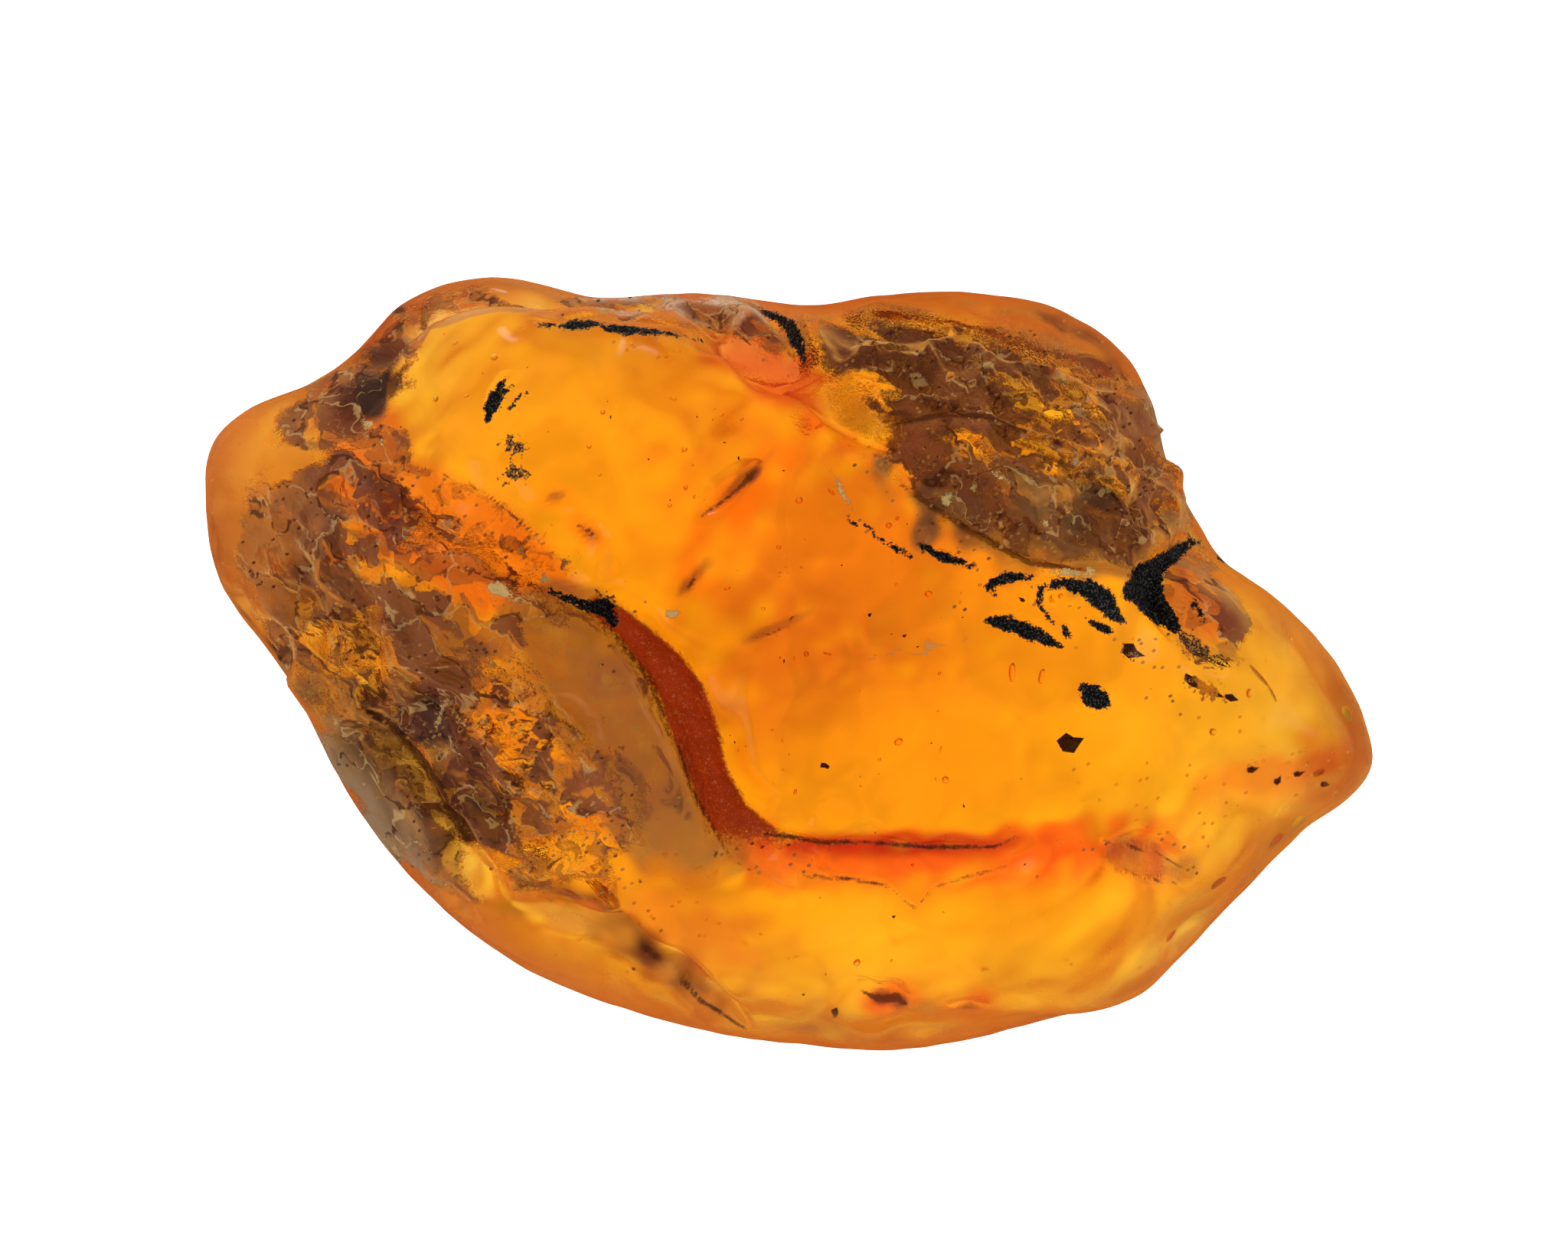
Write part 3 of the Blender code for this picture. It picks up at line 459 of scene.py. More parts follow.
# How much brighter or darker the crust's layers are: x, y, half length, half width, turn, softness, shift,
# strength
LAYER_ZONES = (
    (-13.2, -3.2, 3.6, 1.8, -35.0, 0.5, (0.35,), 1.0), (-21.0, 1.2, 1.9, 1.4, 80.0, 0.3, (0.4,), 1.0),
    (-17.2, 1.4, 2.2, 1.2, -40.0, 0.5, (-0.35,), 1.0), (-9.8, -8.6, 3.6, 1.6, 20.0, 0.5, (0.3,), 1.0),
    (15.6, 11.2, 4.6, 1.5, -32.0, 0.5, (0.25,), 1.0), (12.6, 15.6, 4.0, 1.0, -20.0, 0.5, (0.3,), 1.0),
    (5.6, 15.4, 5.4, 1.8, -6.0, 0.5, (-0.3,), 1.0), (9.0, 12.6, 3.6, 1.4, -20.0, 0.5, (-0.2,), 1.0),
    (-21.5, -5.5, 5.0, 1.8, -55.0, 0.5, (-0.25,), 1.0), (17.0, 7.0, 2.6, 1.4, -40.0, 0.5, (-0.3,), 1.0),
    (-18.0, -2.8, 2.6, 1.5, -48.0, 0.4, (-0.5,), 1.0), (-15.7, -6.2, 2.6, 1.4, -62.0, 0.4, (-0.5,), 1.0),
    (17.2, 9.4, 2.6, 1.7, -40.0, 0.5, (-0.35,), 1.0), (-22.0, 6.8, 2.6, 1.5, -30.0, 0.5, (-0.15,), 1.0),
    (-26.5, 8.5, 3.0, 4.5, 0.0, 0.5, (0.35,), 1.0), (-21.4, 13.8, 2.6, 1.7, 50.0, 0.4, (-0.9,), 1.0),
    (20.4, 3.2, 3.0, 1.8, -60.0, 0.5, (0.3,), 1.0), (8.4, 10.8, 1.6, 0.6, -10.0, 0.6, (0.4,), 1.0),
)
TINT_WANDER = (2.4, 0.16)       # how the zones' edges wander, spacing and share
CRACK_WANDER = (1.5, 0.16)      # how the gold cracks wander, spacing and distance
UNDER_PATCHES = (7.0, 0.2)      # crust left on the under side: spacing, and how much less than half it covers
CLOUD_SPACING = 6.0
LAYER_SPACING = 2.6
FLOW = (-48.0, 1.6)             # turn and stretch of the fine wrinkles across the crust's layers
FLOW_SPACING = 1.5
PUSH_SPACING = 2.6              # how the flakes' edges wander: spacing, and distance for a whole cloud
FLAKE_PUSH = 2.4

# Colours of the dense skin
DARK_BROWN = (0.07, 0.022, 0.009)
RED_BROWN = (0.18, 0.04, 0.012)
UMBER = (0.29, 0.088, 0.025)
OLIVE_BROWN = (0.16, 0.075, 0.022)
LILAC_BROWN = (0.33, 0.1, 0.04)
BRICK = (0.3, 0.035, 0.006)
SKIN_ZONES = (
    (6.0, 14.6, 7.0, 2.8, -10.0, 0.5, DARK_BROWN, 0.8),
    (13.5, 11.8, 6.5, 2.6, -25.0, 0.6, UMBER, 0.7),
    (12.0, 7.4, 6.8, 2.8, -12.0, 0.3, OLIVE_BROWN, 0.9),
    (7.0, 9.4, 3.4, 2.0, -30.0, 0.5, RED_BROWN, 0.7),
    (17.0, 6.6, 3.0, 2.0, -30.0, 0.5, RED_BROWN, 0.6),
    (20.4, 3.2, 3.0, 2.0, -60.0, 0.4, RED_BROWN, 0.9),
    (-9.6, -2.2, 6.0, 4.0, -58.0, 0.3, LILAC_BROWN, 1.0),
    (-20.4, -6.6, 6.6, 2.8, -52.0, 0.4, OLIVE_BROWN, 0.8),
    (-18.0, -2.8, 2.9, 1.6, -48.0, 0.3, (0.11, 0.032, 0.018), 0.9),
    (-15.7, -6.2, 2.9, 1.5, -62.0, 0.3, (0.11, 0.034, 0.016), 0.9),
    (-18.6, -5.4, 5.0, 0.9, -54.0, 0.4, (0.1, 0.018, 0.006), 1.0),
    (-8.2, -13.5, 4.6, 0.9, -37.0, 0.5, (0.2, 0.035, 0.008), 1.0),
    (-11.8, -12.2, 2.4, 0.7, -28.0, 0.5, (0.14, 0.028, 0.01), 1.0),
    (-12.4, -11.2, 1.5, 0.8, -30.0, 0.3, DARK_BROWN, 0.9),
    (-16.6, -11.8, 1.6, 0.8, -42.0, 0.3, RED_BROWN, 0.9),
    (17.8, -9.7, 3.0, 1.3, -16.0, 0.3, (0.4, 0.04, 0.006), 1.0),
    (4.8, -16.7, 1.5, 1.0, 0.0, 0.3, BRICK, 1.0), (9.0, -17.2, 1.5, 1.0, 0.0, 0.3, BRICK, 1.0),
    (-3.0, 8.6, 2.6, 1.4, 44.0, 0.3, BRICK, 1.0), (-4.8, 4.3, 1.6, 1.0, 50.0, 0.3, BRICK, 1.0),
    (-10.6, 7.4, 2.2, 1.6, -40.0, 0.3, BRICK, 1.0), (-0.9, 1.9, 1.8, 1.0, 24.0, 0.3, BRICK, 1.0),
    (-4.5, 17.6, 2.4, 1.2, 0.0, 0.3, RED_BROWN, 1.0),
    (-16.0, 5.4, 6.5, 2.0, -34.0, 0.4, RED_BROWN, 0.8),
    (-21.2, 13.9, 2.2, 1.5, 60.0, 0.4, DARK_BROWN, 1.0),
    (-27.4, 7.2, 2.8, 6.0, 5.0, 0.5, (0.66, 0.19, 0.012), 1.0),
    (-5.2, -8.8, 2.6, 1.6, -30.0, 0.6, (0.5, 0.18, 0.045), 0.9),
)

# Colours of the milky skin round the edge, partly the amber's own and partly a painted glow of the thin rims:
# x, y, half length, half width, turn, softness, colour, strength
MILKY_AND_GLOW = (0.8, 0.36, 0.05)
RIM_COLOUR_AND_GLOW_ZONES = (
    (-29.0, 6.0, 5.0, 7.0, 10.0, 0.4, (0.6, 0.19, 0.012), 1.0),
    (-27.6, 11.8, 2.2, 1.6, 20.0, 0.5, (1.0, 0.6, 0.05), 1.0),
    (-20.6, 16.0, 5.0, 2.8, 45.0, 0.5, (0.2, 0.05, 0.012), 0.9),
    # painted highlight: the pale strip along the back edge
    (-8.0, 18.6, 9.0, 1.6, 0.0, 0.5, (0.8, 0.56, 0.36), 0.9),
    (9.0, 18.6, 8.0, 2.0, -4.0, 0.5, (0.62, 0.22, 0.025), 1.0),
    (18.6, 13.0, 2.4, 5.0, 20.0, 0.5, (0.34, 0.11, 0.02), 0.9),
    (22.0, 5.5, 3.0, 2.4, -45.0, 0.5, (0.5, 0.17, 0.03), 0.9),
    (25.5, 2.6, 3.4, 2.0, -40.0, 0.5, (0.95, 0.6, 0.07), 1.0),
    (29.4, -3.6, 2.4, 2.6, 0.0, 0.5, (0.85, 0.4, 0.06), 1.0),
    (24.5, -10.0, 5.0, 2.6, 42.0, 0.5, (0.85, 0.3, 0.012), 1.0),
    (14.0, -17.4, 7.0, 2.6, 24.0, 0.5, (0.88, 0.28, 0.01), 1.0),
    (1.0, -19.0, 8.0, 2.6, -6.0, 0.5, (0.75, 0.25, 0.012), 1.0),
    (-14.0, -14.6, 6.0, 2.4, -38.0, 0.6, (0.92, 0.58, 0.16), 1.0),
    # partly a painted sheen: the greyer rim of the dark olive flank
    (-21.0, -8.6, 6.0, 2.4, -55.0, 0.5, (0.36, 0.22, 0.11), 0.9),
)

# What is sealed in the amber: x, y, share of the way down, half length, half width, half height, turn in
# degrees. Sizes of the scattered ones are a usual size and how widely its logarithm spreads.
SKIN_COVER = 0.25               # the least amber over an inclusion
SCATTER_REACH = 0.9             # share of the outline that the scattered ones stay within
BUBBLE_RADIUS = (0.09, 0.35)
BUBBLE_SQUASH = (0.7, 1.0)      # shares of the radius for the other two
BUBBLE_DEEPEST = 0.6
BUBBLE_LEAN = 0.3
DUST_LENGTH = (0.06, 0.5)       # half lengths
DUST_WIDTH = (0.3, 0.8)         # shares of the length
DUST_HEIGHT = 0.4               # share of the width
DUST_DEEPEST = 0.5
DEBRIS_LEAN = 0.5
DEBRIS_LUMPS = (1.1, 0.35)      # spacing and height of a crumb's lumps, in its own half sizes
SPANGLE_DISH = 2.5              # how far a spangle's edge is bent up, in its own half heights
SPANGLE_LEAN = 0.7
BUBBLES = (
    (0.35, 8.05, 0.05, 0.2, 0.2, 0.18, 0.0), (-0.76, 5.9, 0.1, 0.16, 0.15, 0.15, 0.0),
    (4.6, 6.85, 0.05, 0.17, 0.17, 0.15, 0.0), (6.5, 3.6, 0.1, 0.2, 0.18, 0.17, 0.0),
    (10.8, -0.1, 0.1, 0.5, 0.18, 0.18, 88.0), (12.1, -0.3, 0.1, 0.4, 0.16, 0.16, 80.0),
    (5.2, -3.6, 0.1, 0.22, 0.2, 0.2, 0.0), (7.6, -5.4, 0.15, 0.2, 0.18, 0.18, 0.0),
    (-5.4, 10.4, 0.1, 0.18, 0.17, 0.17, 0.0), (-9.4, 12.2, 0.1, 0.15, 0.15, 0.14, 0.0),
    (3.2, -14.4, 0.1, 0.2, 0.2, 0.2, 0.0), (9.6, -14.8, 0.1, 0.22, 0.2, 0.2, 0.0),
    (22.6, -1.4, 0.1, 0.26, 0.24, 0.2, 0.0), (20.8, -3.2, 0.1, 0.2, 0.2, 0.2, 0.0),
    (-14.6, 15.0, 0.1, 0.2, 0.18, 0.16, 0.0), (-17.4, 13.2, 0.1, 0.2, 0.2, 0.2, 0.0),
)
SPANGLES = (
    (24.6, -8.8, 0.1, 0.5, 0.3, 0.03, 40.0), (25.8, -7.8, 0.1, 0.6, 0.35, 0.03, 50.0),
    (28.1, -2.6, 0.1, 0.45, 0.3, 0.03, -60.0), (23.2, -0.6, 0.05, 0.8, 0.12, 0.03, -40.0),
    (23.9, -1.4, 0.05, 0.6, 0.1, 0.03, -55.0), (21.4, -10.8, 0.1, 0.5, 0.3, 0.03, 45.0),
    (19.0, -13.6, 0.1, 0.45, 0.28, 0.03, 30.0), (26.6, -5.0, 0.2, 0.3, 0.2, 0.03, 20.0),
)
FLAKES = (
    (13.5, -3.7, 0.05, 0.55, 0.32, 0.12, 20.0), (16.5, 0.7, 0.02, 0.7, 0.25, 0.1, -20.0),
    (19.6, 1.1, 0.02, 0.5, 0.2, 0.08, -40.0), (20.6, 0.3, 0.02, 0.7, 0.2, 0.08, -50.0),
    (21.4, 0.1, 0.02, 0.4, 0.18, 0.08, -35.0), (19.8, -0.8, 0.02, 0.6, 0.15, 0.08, -30.0),
    (20.9, -1.3, 0.02, 0.5, 0.15, 0.08, -25.0), (21.8, -1.6, 0.02, 0.4, 0.12, 0.08, -10.0),
    (23.0, -5.0, 0.1, 0.3, 0.15, 0.08, 10.0), (24.4, -5.6, 0.1, 0.25, 0.15, 0.08, 60.0),
    (25.6, -5.2, 0.1, 0.3, 0.12, 0.08, 20.0), (27.0, -5.8, 0.1, 0.25, 0.12, 0.08, -20.0),
)

# The stage: the table's height, and heights of a heading between which the room's light fades
TABLE_HEIGHT = -0.2
ROOM_FADE = (0.1, 0.4)
SENSOR_WIDTH = 36.0
NEAREST_SEEN = 0.01

# Bright panes of the room that only the polished skin mirrors: heading, cosines of the soft edge, brightness
PANES = (
    ((-0.23, 0.972, 0.04), (0.996, 0.998), 2.2),
    ((-0.72, -0.35, 0.6), (0.955, 0.985), 0.35),
    ((0.85, 0.3, 0.42), (0.97, 0.99), 0.5),
)

# The amber's material. Spacing, detail and roughness of its grains, and how much each frays an edge
GRAIN = (0.35, 2.0, 0.65)
FINE_GRAIN = (0.1, 0.0)
FRAY = (0.6, 0.25)

# Marks on the skin: how far the grain frays their edges, and the values between which they rise
MARKS = {
    "char": (0.9, -0.04, 0.07), "red": (0.7, -0.12, 0.16), "chips": (0.8, 0.0, 0.1),
    "seams_and_shadow": (0.4, -0.08, 0.1), "cracks": (0.3, 0.02, 0.11),
}

# The crust's flakes and the specks: spacing, turn in degrees, stretch
BROAD_FLAKES = (2.4, CRUST_SLANT, 1.9)
SMALL_FLAKES = (0.8, -52.0, 1.7)
SPECK_CELLS = (0.27, 30.0, 1.4)

# The values between which each pattern rises from 0 to 1
RISES = {
    "speckles": (0.0, 0.12), "edge": (-0.1, 0.35), "pane": (0.5, 0.56), "glow": (0.68, 0.74),
    "broken": (0.68, 0.78), "ridges": (0.03, 0.08), "rifts": (0.06, 0.16), "wrinkles": (0.004, 0.02),
    "wrinkle_gaps": (0.4, 0.55), "chosen": (0.0, 0.02), "speck_edge": (0.24, 0.34), "dust": (0.98, 1.2),
    "brick": (0.45, 0.75), "brick_dust": (1.15, 1.4), "gold_specks": (0.3, 0.5), "ash": (0.5, 0.75),
    "gold_speckles": (0.45, 0.6), "wisps": (0.35, 0.75), "milky": (0.1, 0.8),
}

# How much of the skin each pattern closes, from clear at 0 to dense at 1
CLOSED = {
    "char": 1.0, "speckles": 1.0, "red": 0.6, "chips": 1.0, "cracks": 0.7, "lines": 0.5, "ridges": 0.55,
    "dusty": 0.7, "seams_and_shadow": 0.85, "rifts": 0.8, "specks": 0.8,
}


# Shapes and masks, worked out as whole arrays


def smooth_step(value, low, high):
    """0 below low, 1 above high, and an S-curve between."""
    t = np.clip((value - low) / (high - low), 0.0, 1.0)
    return t * t * (3.0 - 2.0 * t)


def outline_radius(angle):
    """Radius of the widest contour at each angle: a smooth closed curve through OUTLINE, whose slope at each
    corner is that of the line between its neighbours."""
    corners = np.array(OUTLINE)
    knots = np.arctan2(corners[:, 1], corners[:, 0])
    order = np.argsort(knots)
    knots, radii = knots[order], np.hypot(*corners[order].T)
    count = len(knots)
    wrapped = np.concatenate([knots - 2 * math.pi, knots, knots + 2 * math.pi])
    values = np.tile(radii, 3)
    slopes = (values[2:] - values[:-2]) / (wrapped[2:] - wrapped[:-2])
    at = np.clip(np.searchsorted(wrapped, angle, side="right") - 1, count - 1, 2 * count)
    gap = wrapped[at + 1] - wrapped[at]
    t = (angle - wrapped[at]) / gap
    return (
        values[at] * (1 + 2 * t) * (1 - t) ** 2
        + slopes[at - 1] * gap * t * (1 - t) ** 2
        + values[at + 1] * t * t * (3 - 2 * t)
        + slopes[at] * gap * t * t * (t - 1)
    )


def outline_share(plan):
    """How far out a place lies: 0 at the origin, 1 on the outline."""
    return np.hypot(*plan.T) / outline_radius(np.arctan2(plan[:, 1], plan[:, 0]))


def lump_points(directions):
    """Each unit direction's place on the plain lump: its angle picks the outline's radius, and its tilt from
    upright picks how far out it lies and how high the dome or the base is there."""
    angle = np.arctan2(directions[:, 1], directions[:, 0])
    tip = np.degrees(np.arccos(np.clip(directions[:, 2], -1, 1)))
    upper = tip <= TOP_SHARE
    polar = np.where(upper, tip * 90 / TOP_SHARE, 180 - (180 - tip) * 90 / (180 - TOP_SHARE))
    out = np.sin(np.radians(polar))
    turned = angle - HEART_TURN
    heart = 1 / np.hypot(np.cos(turned) / HEART_LENGTH, np.sin(turned) / HEART_WIDTH)
    reach = out * (heart + (outline_radius(angle) - heart) * smooth_step(out, HEART_END, 1.0))
    fullness = np.where(upper, TOP_FULLNESS, BASE_FULLNESS)
    height = np.sqrt(np.maximum(1 - out ** fullness, 0.0))
    swing = RIM_TWIST * np.sin(2 * angle + RIM_TWIST_START) - RIM_TILT * np.cos(angle)
    z = RIM_HEIGHT + swing * out + np.where(upper, TOP_RISE, -BASE_DROP) * height
    return np.column_stack([reach * np.cos(angle), reach * np.sin(angle), z])


def route_field(plan, route):
    """Distance to a polyline, the side it lies on (positive is left), and how far along it is, 0 to 1."""
    ends = np.array(route)
    steps = np.diff(ends, axis=0)
    lengths = np.hypot(*steps.T)
    before = np.concatenate([[0.0], np.cumsum(lengths)])[:-1]
    best = np.full(len(plan), np.inf)
    side = np.zeros(len(plan))
    along = np.zeros(len(plan))
    for start, step, length, run in zip(ends[:-1], steps, lengths, before):
        away = plan - start
        t = np.clip(away @ step / length ** 2, 0.0, 1.0)
        gap = np.hypot(*(away - t[:, None] * step).T)
        closer = gap < best
        cross = step[0] * away[:, 1] - step[1] * away[:, 0]
        best = np.where(closer, gap, best)
        side = np.where(closer, np.sign(cross), side)
        along = np.where(closer, (run + t * length) / lengths.sum(), along)
    return best, side, along


def inside_field(plan, border):
    """Signed distance to a closed border: positive inside."""
    gap, _, _ = route_field(plan, border + border[:1])
    ends = np.array(border)
    inside = np.zeros(len(plan), bool)
    for (x0, y0), (x1, y1) in zip(ends, np.roll(ends, -1, axis=0)):
        crosses = (y0 > plan[:, 1]) != (y1 > plan[:, 1])
        at = x0 + (plan[:, 1] - y0) * (x1 - x0) / (y1 - y0 if y1 != y0 else 1e-9)
        inside ^= crosses & (plan[:, 0] < at)
    return np.where(inside, gap, -gap)


def oval_field(plan, x, y, half_length, half_width, turn):
    """How far out a point lies in an oval: 0 at its middle, 1 on its edge."""
    c, s = math.cos(math.radians(turn)), math.sin(math.radians(turn))
    u = ((plan[:, 0] - x) * c + (plan[:, 1] - y) * s) / half_length
    v = ((plan[:, 1] - y) * c - (plan[:, 0] - x) * s) / half_width
    return np.hypot(u, v)


def stroke_field(plan, stroke):
    """Signed distance to a brush stroke, positive in it. Its half width runs evenly between its points."""
    best = np.full(len(plan), -np.inf)
    for (x0, y0, half0), (x1, y1, half1) in zip(stroke[:-1], stroke[1:]):
        step = np.array([x1 - x0, y1 - y0])
        away = plan - (x0, y0)
        t = np.clip(away @ step / (step @ step), 0.0, 1.0)
        gap = np.hypot(*(away - t[:, None] * step).T)
        best = np.maximum(best, half0 + t * (half1 - half0) - gap)
    return best


def wave_field(points, spacing, seed):
    """A smooth random field of about unit height: sine waves of one spacing in seeded directions."""
    draw = np.random.default_rng(seed)
    headings = draw.normal(size=(WAVE_COUNT, points.shape[1]))
    headings /= np.linalg.norm(headings, axis=1)[:, None]
    rates = 2 * math.pi / spacing * draw.uniform(*WAVE_SPREAD, WAVE_COUNT)
    phases = draw.uniform(0, 2 * math.pi, WAVE_COUNT)
    return np.sin(points @ (headings * rates[:, None]).T + phases).sum(1) / math.sqrt(WAVE_COUNT / 2)


def ridge_field(plan, spacing, seed):
    """Sharp-crested ridges drawn out along the crust's layers: one minus the size of a rough field."""
    slant = math.radians(CRUST_SLANT)
    length = plan @ (math.cos(slant), math.sin(slant)) / CRUST_STRETCH
    width = plan @ (-math.sin(slant), math.cos(slant))
    rough = wave_field(np.column_stack([length, width]), spacing, seed)
    return 1.0 - np.minimum(np.abs(rough), CRUST_DEEPEST)


def swell_relief(plan, swells):
    """Round hills and hollows, each a bell of its own radius and height."""
    relief = np.zeros(len(plan))
    for x, y, radius, height in swells:
        relief += height * np.exp(-((plan[:, 0] - x) ** 2 + (plan[:, 1] - y) ** 2) / radius ** 2)
    return relief


def end_taper(along):
    """Fades a fold or ledge in and out at the ends of its route."""
    return smooth_step(along, 0.0, END_TAPER) * smooth_step(1 - along, 0.0, END_TAPER)


def fold_relief(plan):
    """Furrows along the folds' routes: a bell across each, with its own width on either side."""
    relief = np.zeros(len(plan))
    wander = 1 + WANDER * wave_field(plan, WANDER_SPACING, SEED)
    for route, left, right, depth in FOLDS.values():
        gap, side, along = route_field(plan, route)
        across = gap / (np.where(side > 0, left, right) * np.maximum(wander, LEAST_WANDER))
        relief -= depth * np.exp(-across ** 2) * end_taper(along)
    return relief


def ledge_relief(plan):
    """Steps down on the left of the ledges' routes, each fading out away from its edge."""
    relief = np.zeros(len(plan))
    for route, width, drop in LEDGES.values():
        gap, side, along = route_field(plan, route)
        lower = smooth_step(gap * side, -width, width)
        relief -= drop * lower * np.exp(-(gap / LEDGE_REACH) ** 2) * end_taper(along)
    return relief


def pit_relief(plan):
    """Oval pits with a flat floor and a sloping wall."""
    relief = np.zeros(len(plan))
    for x, y, half_length, half_width, turn, depth in PITS:
        out = oval_field(plan, x, y, half_length, half_width, turn)
        relief -= depth * (1 - smooth_step(out, *PIT_WALL))
    return relief


def crust_share(plan):
    """Where the crust's ridges stand: 0 on the polished skin, 1 well inside a crust field, and its height."""
    share = np.zeros(len(plan))
    height = np.zeros(len(plan))
    for border, ridge in CRUST_FIELDS:
        inside = smooth_step(inside_field(plan, border), *CRUST_EDGE)
        share = np.maximum(share, inside)
        height = np.maximum(height, ridge * inside)
    return share, height


def cloud_field(points, spacing, seed, octaves=4):
    """Cloudy noise about 0.5: waves of halving spacing and height, each bent a little by the one before."""
    total = np.zeros(len(points))
    for octave in range(octaves):
        bend = CLOUD_BEND * spacing * total[:, None]
        total = total + wave_field(points + bend, spacing, seed + octave) * 0.5 ** octave
        spacing = spacing / 2
    return 0.5 + CLOUD_SPAN * total


def stretched(points, turn, stretch):
    """Points drawn out along a direction in plan, so that noise on them runs in layers."""
    slant = math.radians(turn)
    along = points[:, :2] @ (math.cos(slant), math.sin(slant)) / stretch
    across = points[:, :2] @ (-math.sin(slant), math.cos(slant))
    return np.column_stack([along, across, points[:, 2] / stretch])


def flake_field(plan, spacing, turn, stretch, seed):
    """Height of broken flakes, of about unit size: each seeded place on a jittered lattice owns the ground
    nearest to it, which is a plane of its own height and lean."""
    slant = math.radians(turn)
    length = plan @ (math.cos(slant), math.sin(slant)) / (spacing * stretch)
    width = plan @ (-math.sin(slant), math.cos(slant)) / spacing
    place = np.column_stack([length, width])
    home = np.floor(place).astype(int)
    draw = np.random.default_rng(seed)
    jitter = draw.uniform(*JITTER, (LATTICE, LATTICE, 2))
    own = draw.uniform(-1, 1, (LATTICE, LATTICE, 4))
    nearest = np.full(len(plan), np.inf)
    owner = np.zeros((len(plan), 2))
    values = np.zeros((len(plan), 4))
    for step in np.ndindex(5, 5):
        cell = home + np.array(step) - 2
        at = cell % LATTICE
        spot = cell + jitter[at[:, 0], at[:, 1]]
        away = ((place - spot) ** 2).sum(1)
        closer = away < nearest
        nearest = np.where(closer, away, nearest)
        owner = np.where(closer[:, None], spot, owner)
        values = np.where(closer[:, None], own[at[:, 0], at[:, 1]], values)
    return values[:, 0] + (values[:, 1:3] * (place - owner)).sum(1) * FLAKE_TILT


def crust_relief(plan):
    """The solid's own ridges, with broken flakes over them that fade towards the outline."""
    share, height = crust_share(plan)
    relief = height * ridge_field(plan, CRUST_GRAIN, SEED)
    share = share * (1 - smooth_step(outline_share(plan), *FLAKE_FADE))
    for step, (spacing, turn, stretch, drop) in enumerate(FLAKE_LAYERS, 1):
        relief += share * drop * flake_field(plan, spacing, turn, stretch, SEED + 10 * step)
    return relief


def red_floor_relief(plan):
    """The red fold's floor, let in below its walls with a rough bottom."""
    floor = smooth_step(inside_field(plan, RED_FLOOR), *RED_FLOOR_EDGE)
    spacing, height = RED_FLOOR_GRAIN
    return -floor * (RED_FLOOR_DROP + height * wave_field(plan, spacing, SEED + 40))


def stroke_relief(plan):
    """Char lies a little below the skin, and a seam is a groove."""
    char = smooth_step(strokes_field(plan, CHAR_STROKES), *CHAR_EDGE)
    seam = smooth_step(strokes_field(plan, SEAM_AND_SHADOW_STROKES), *SEAM_EDGE)
    return -CHAR_DEPTH * char - SEAM_DEPTH * seam


def strokes_field(plan, strokes):
    """Signed distance to the nearest of some brush strokes, in millimetres, positive in it."""
    best = np.full(len(plan), -FAR)
    for stroke in strokes:
        best = np.maximum(best, stroke_field(plan, stroke))
    return best


def oval_union(plan, ovals):
    """How deep a point lies in any of some ovals: about the distance to the edge, positive inside."""
    best = np.full(len(plan), -FAR)
    for x, y, half_length, half_width, turn in ovals:
        out = oval_field(plan, x, y, half_length, half_width, turn)
        best = np.maximum(best, (1 - out) * min(half_length, half_width))
    return best


def zone_paint(plan, start, zones):
    """Lays colours over a start colour, one oval zone after another, each with a soft, wandering edge."""
    spacing, share = TINT_WANDER
    wander = share * wave_field(plan, spacing, SEED + 50)
    paint = np.tile(np.array(start), (len(plan), 1))
    for x, y, half_length, half_width, turn, softness, colour, strength in zones:
        out = oval_field(plan, x, y, half_length, half_width, turn) + wander
        cover = strength * (1 - smooth_step(out, 1 - softness, 1 + softness))
        paint += cover[:, None] * (np.array(colour) - paint)
    return paint


def area_paint(plan, paint, areas):
    """Lays colours inside closed borders over a paint, each with a soft edge."""
    for border, softness, colour, strength in areas:
        cover = strength * smooth_step(inside_field(plan, border), -softness, softness)
        paint = paint + cover[:, None] * (np.array(colour) - paint)
    return paint


def zone_level(plan, zones):
    """A level between 0 and 1 that is the largest of some oval zones' own, with soft, wandering edges."""
    level = np.zeros(len(plan))
    spacing, share = TINT_WANDER
    wander = share * wave_field(plan, spacing, SEED + 60)
    for x, y, half_length, half_width, turn, softness, most in zones:
        out = oval_field(plan, x, y, half_length, half_width, turn) + wander
        level = np.maximum(level, most * (1 - smooth_step(out, 1 - softness, 1 + softness)))
    return level


def crack_field(plan):
    """Distance to the nearest gold crack, in millimetres, with the cracks' routes made to wander."""
    spacing, distance = CRACK_WANDER
    shift = np.column_stack([wave_field(plan, spacing, SEED + turn) for turn in (70, 71)])
    near = np.full(len(plan), FAR)
    for route in GOLD_CRACKS:
        near = np.minimum(near, route_field(plan + distance * shift, route)[0])
    return near


# Meshes


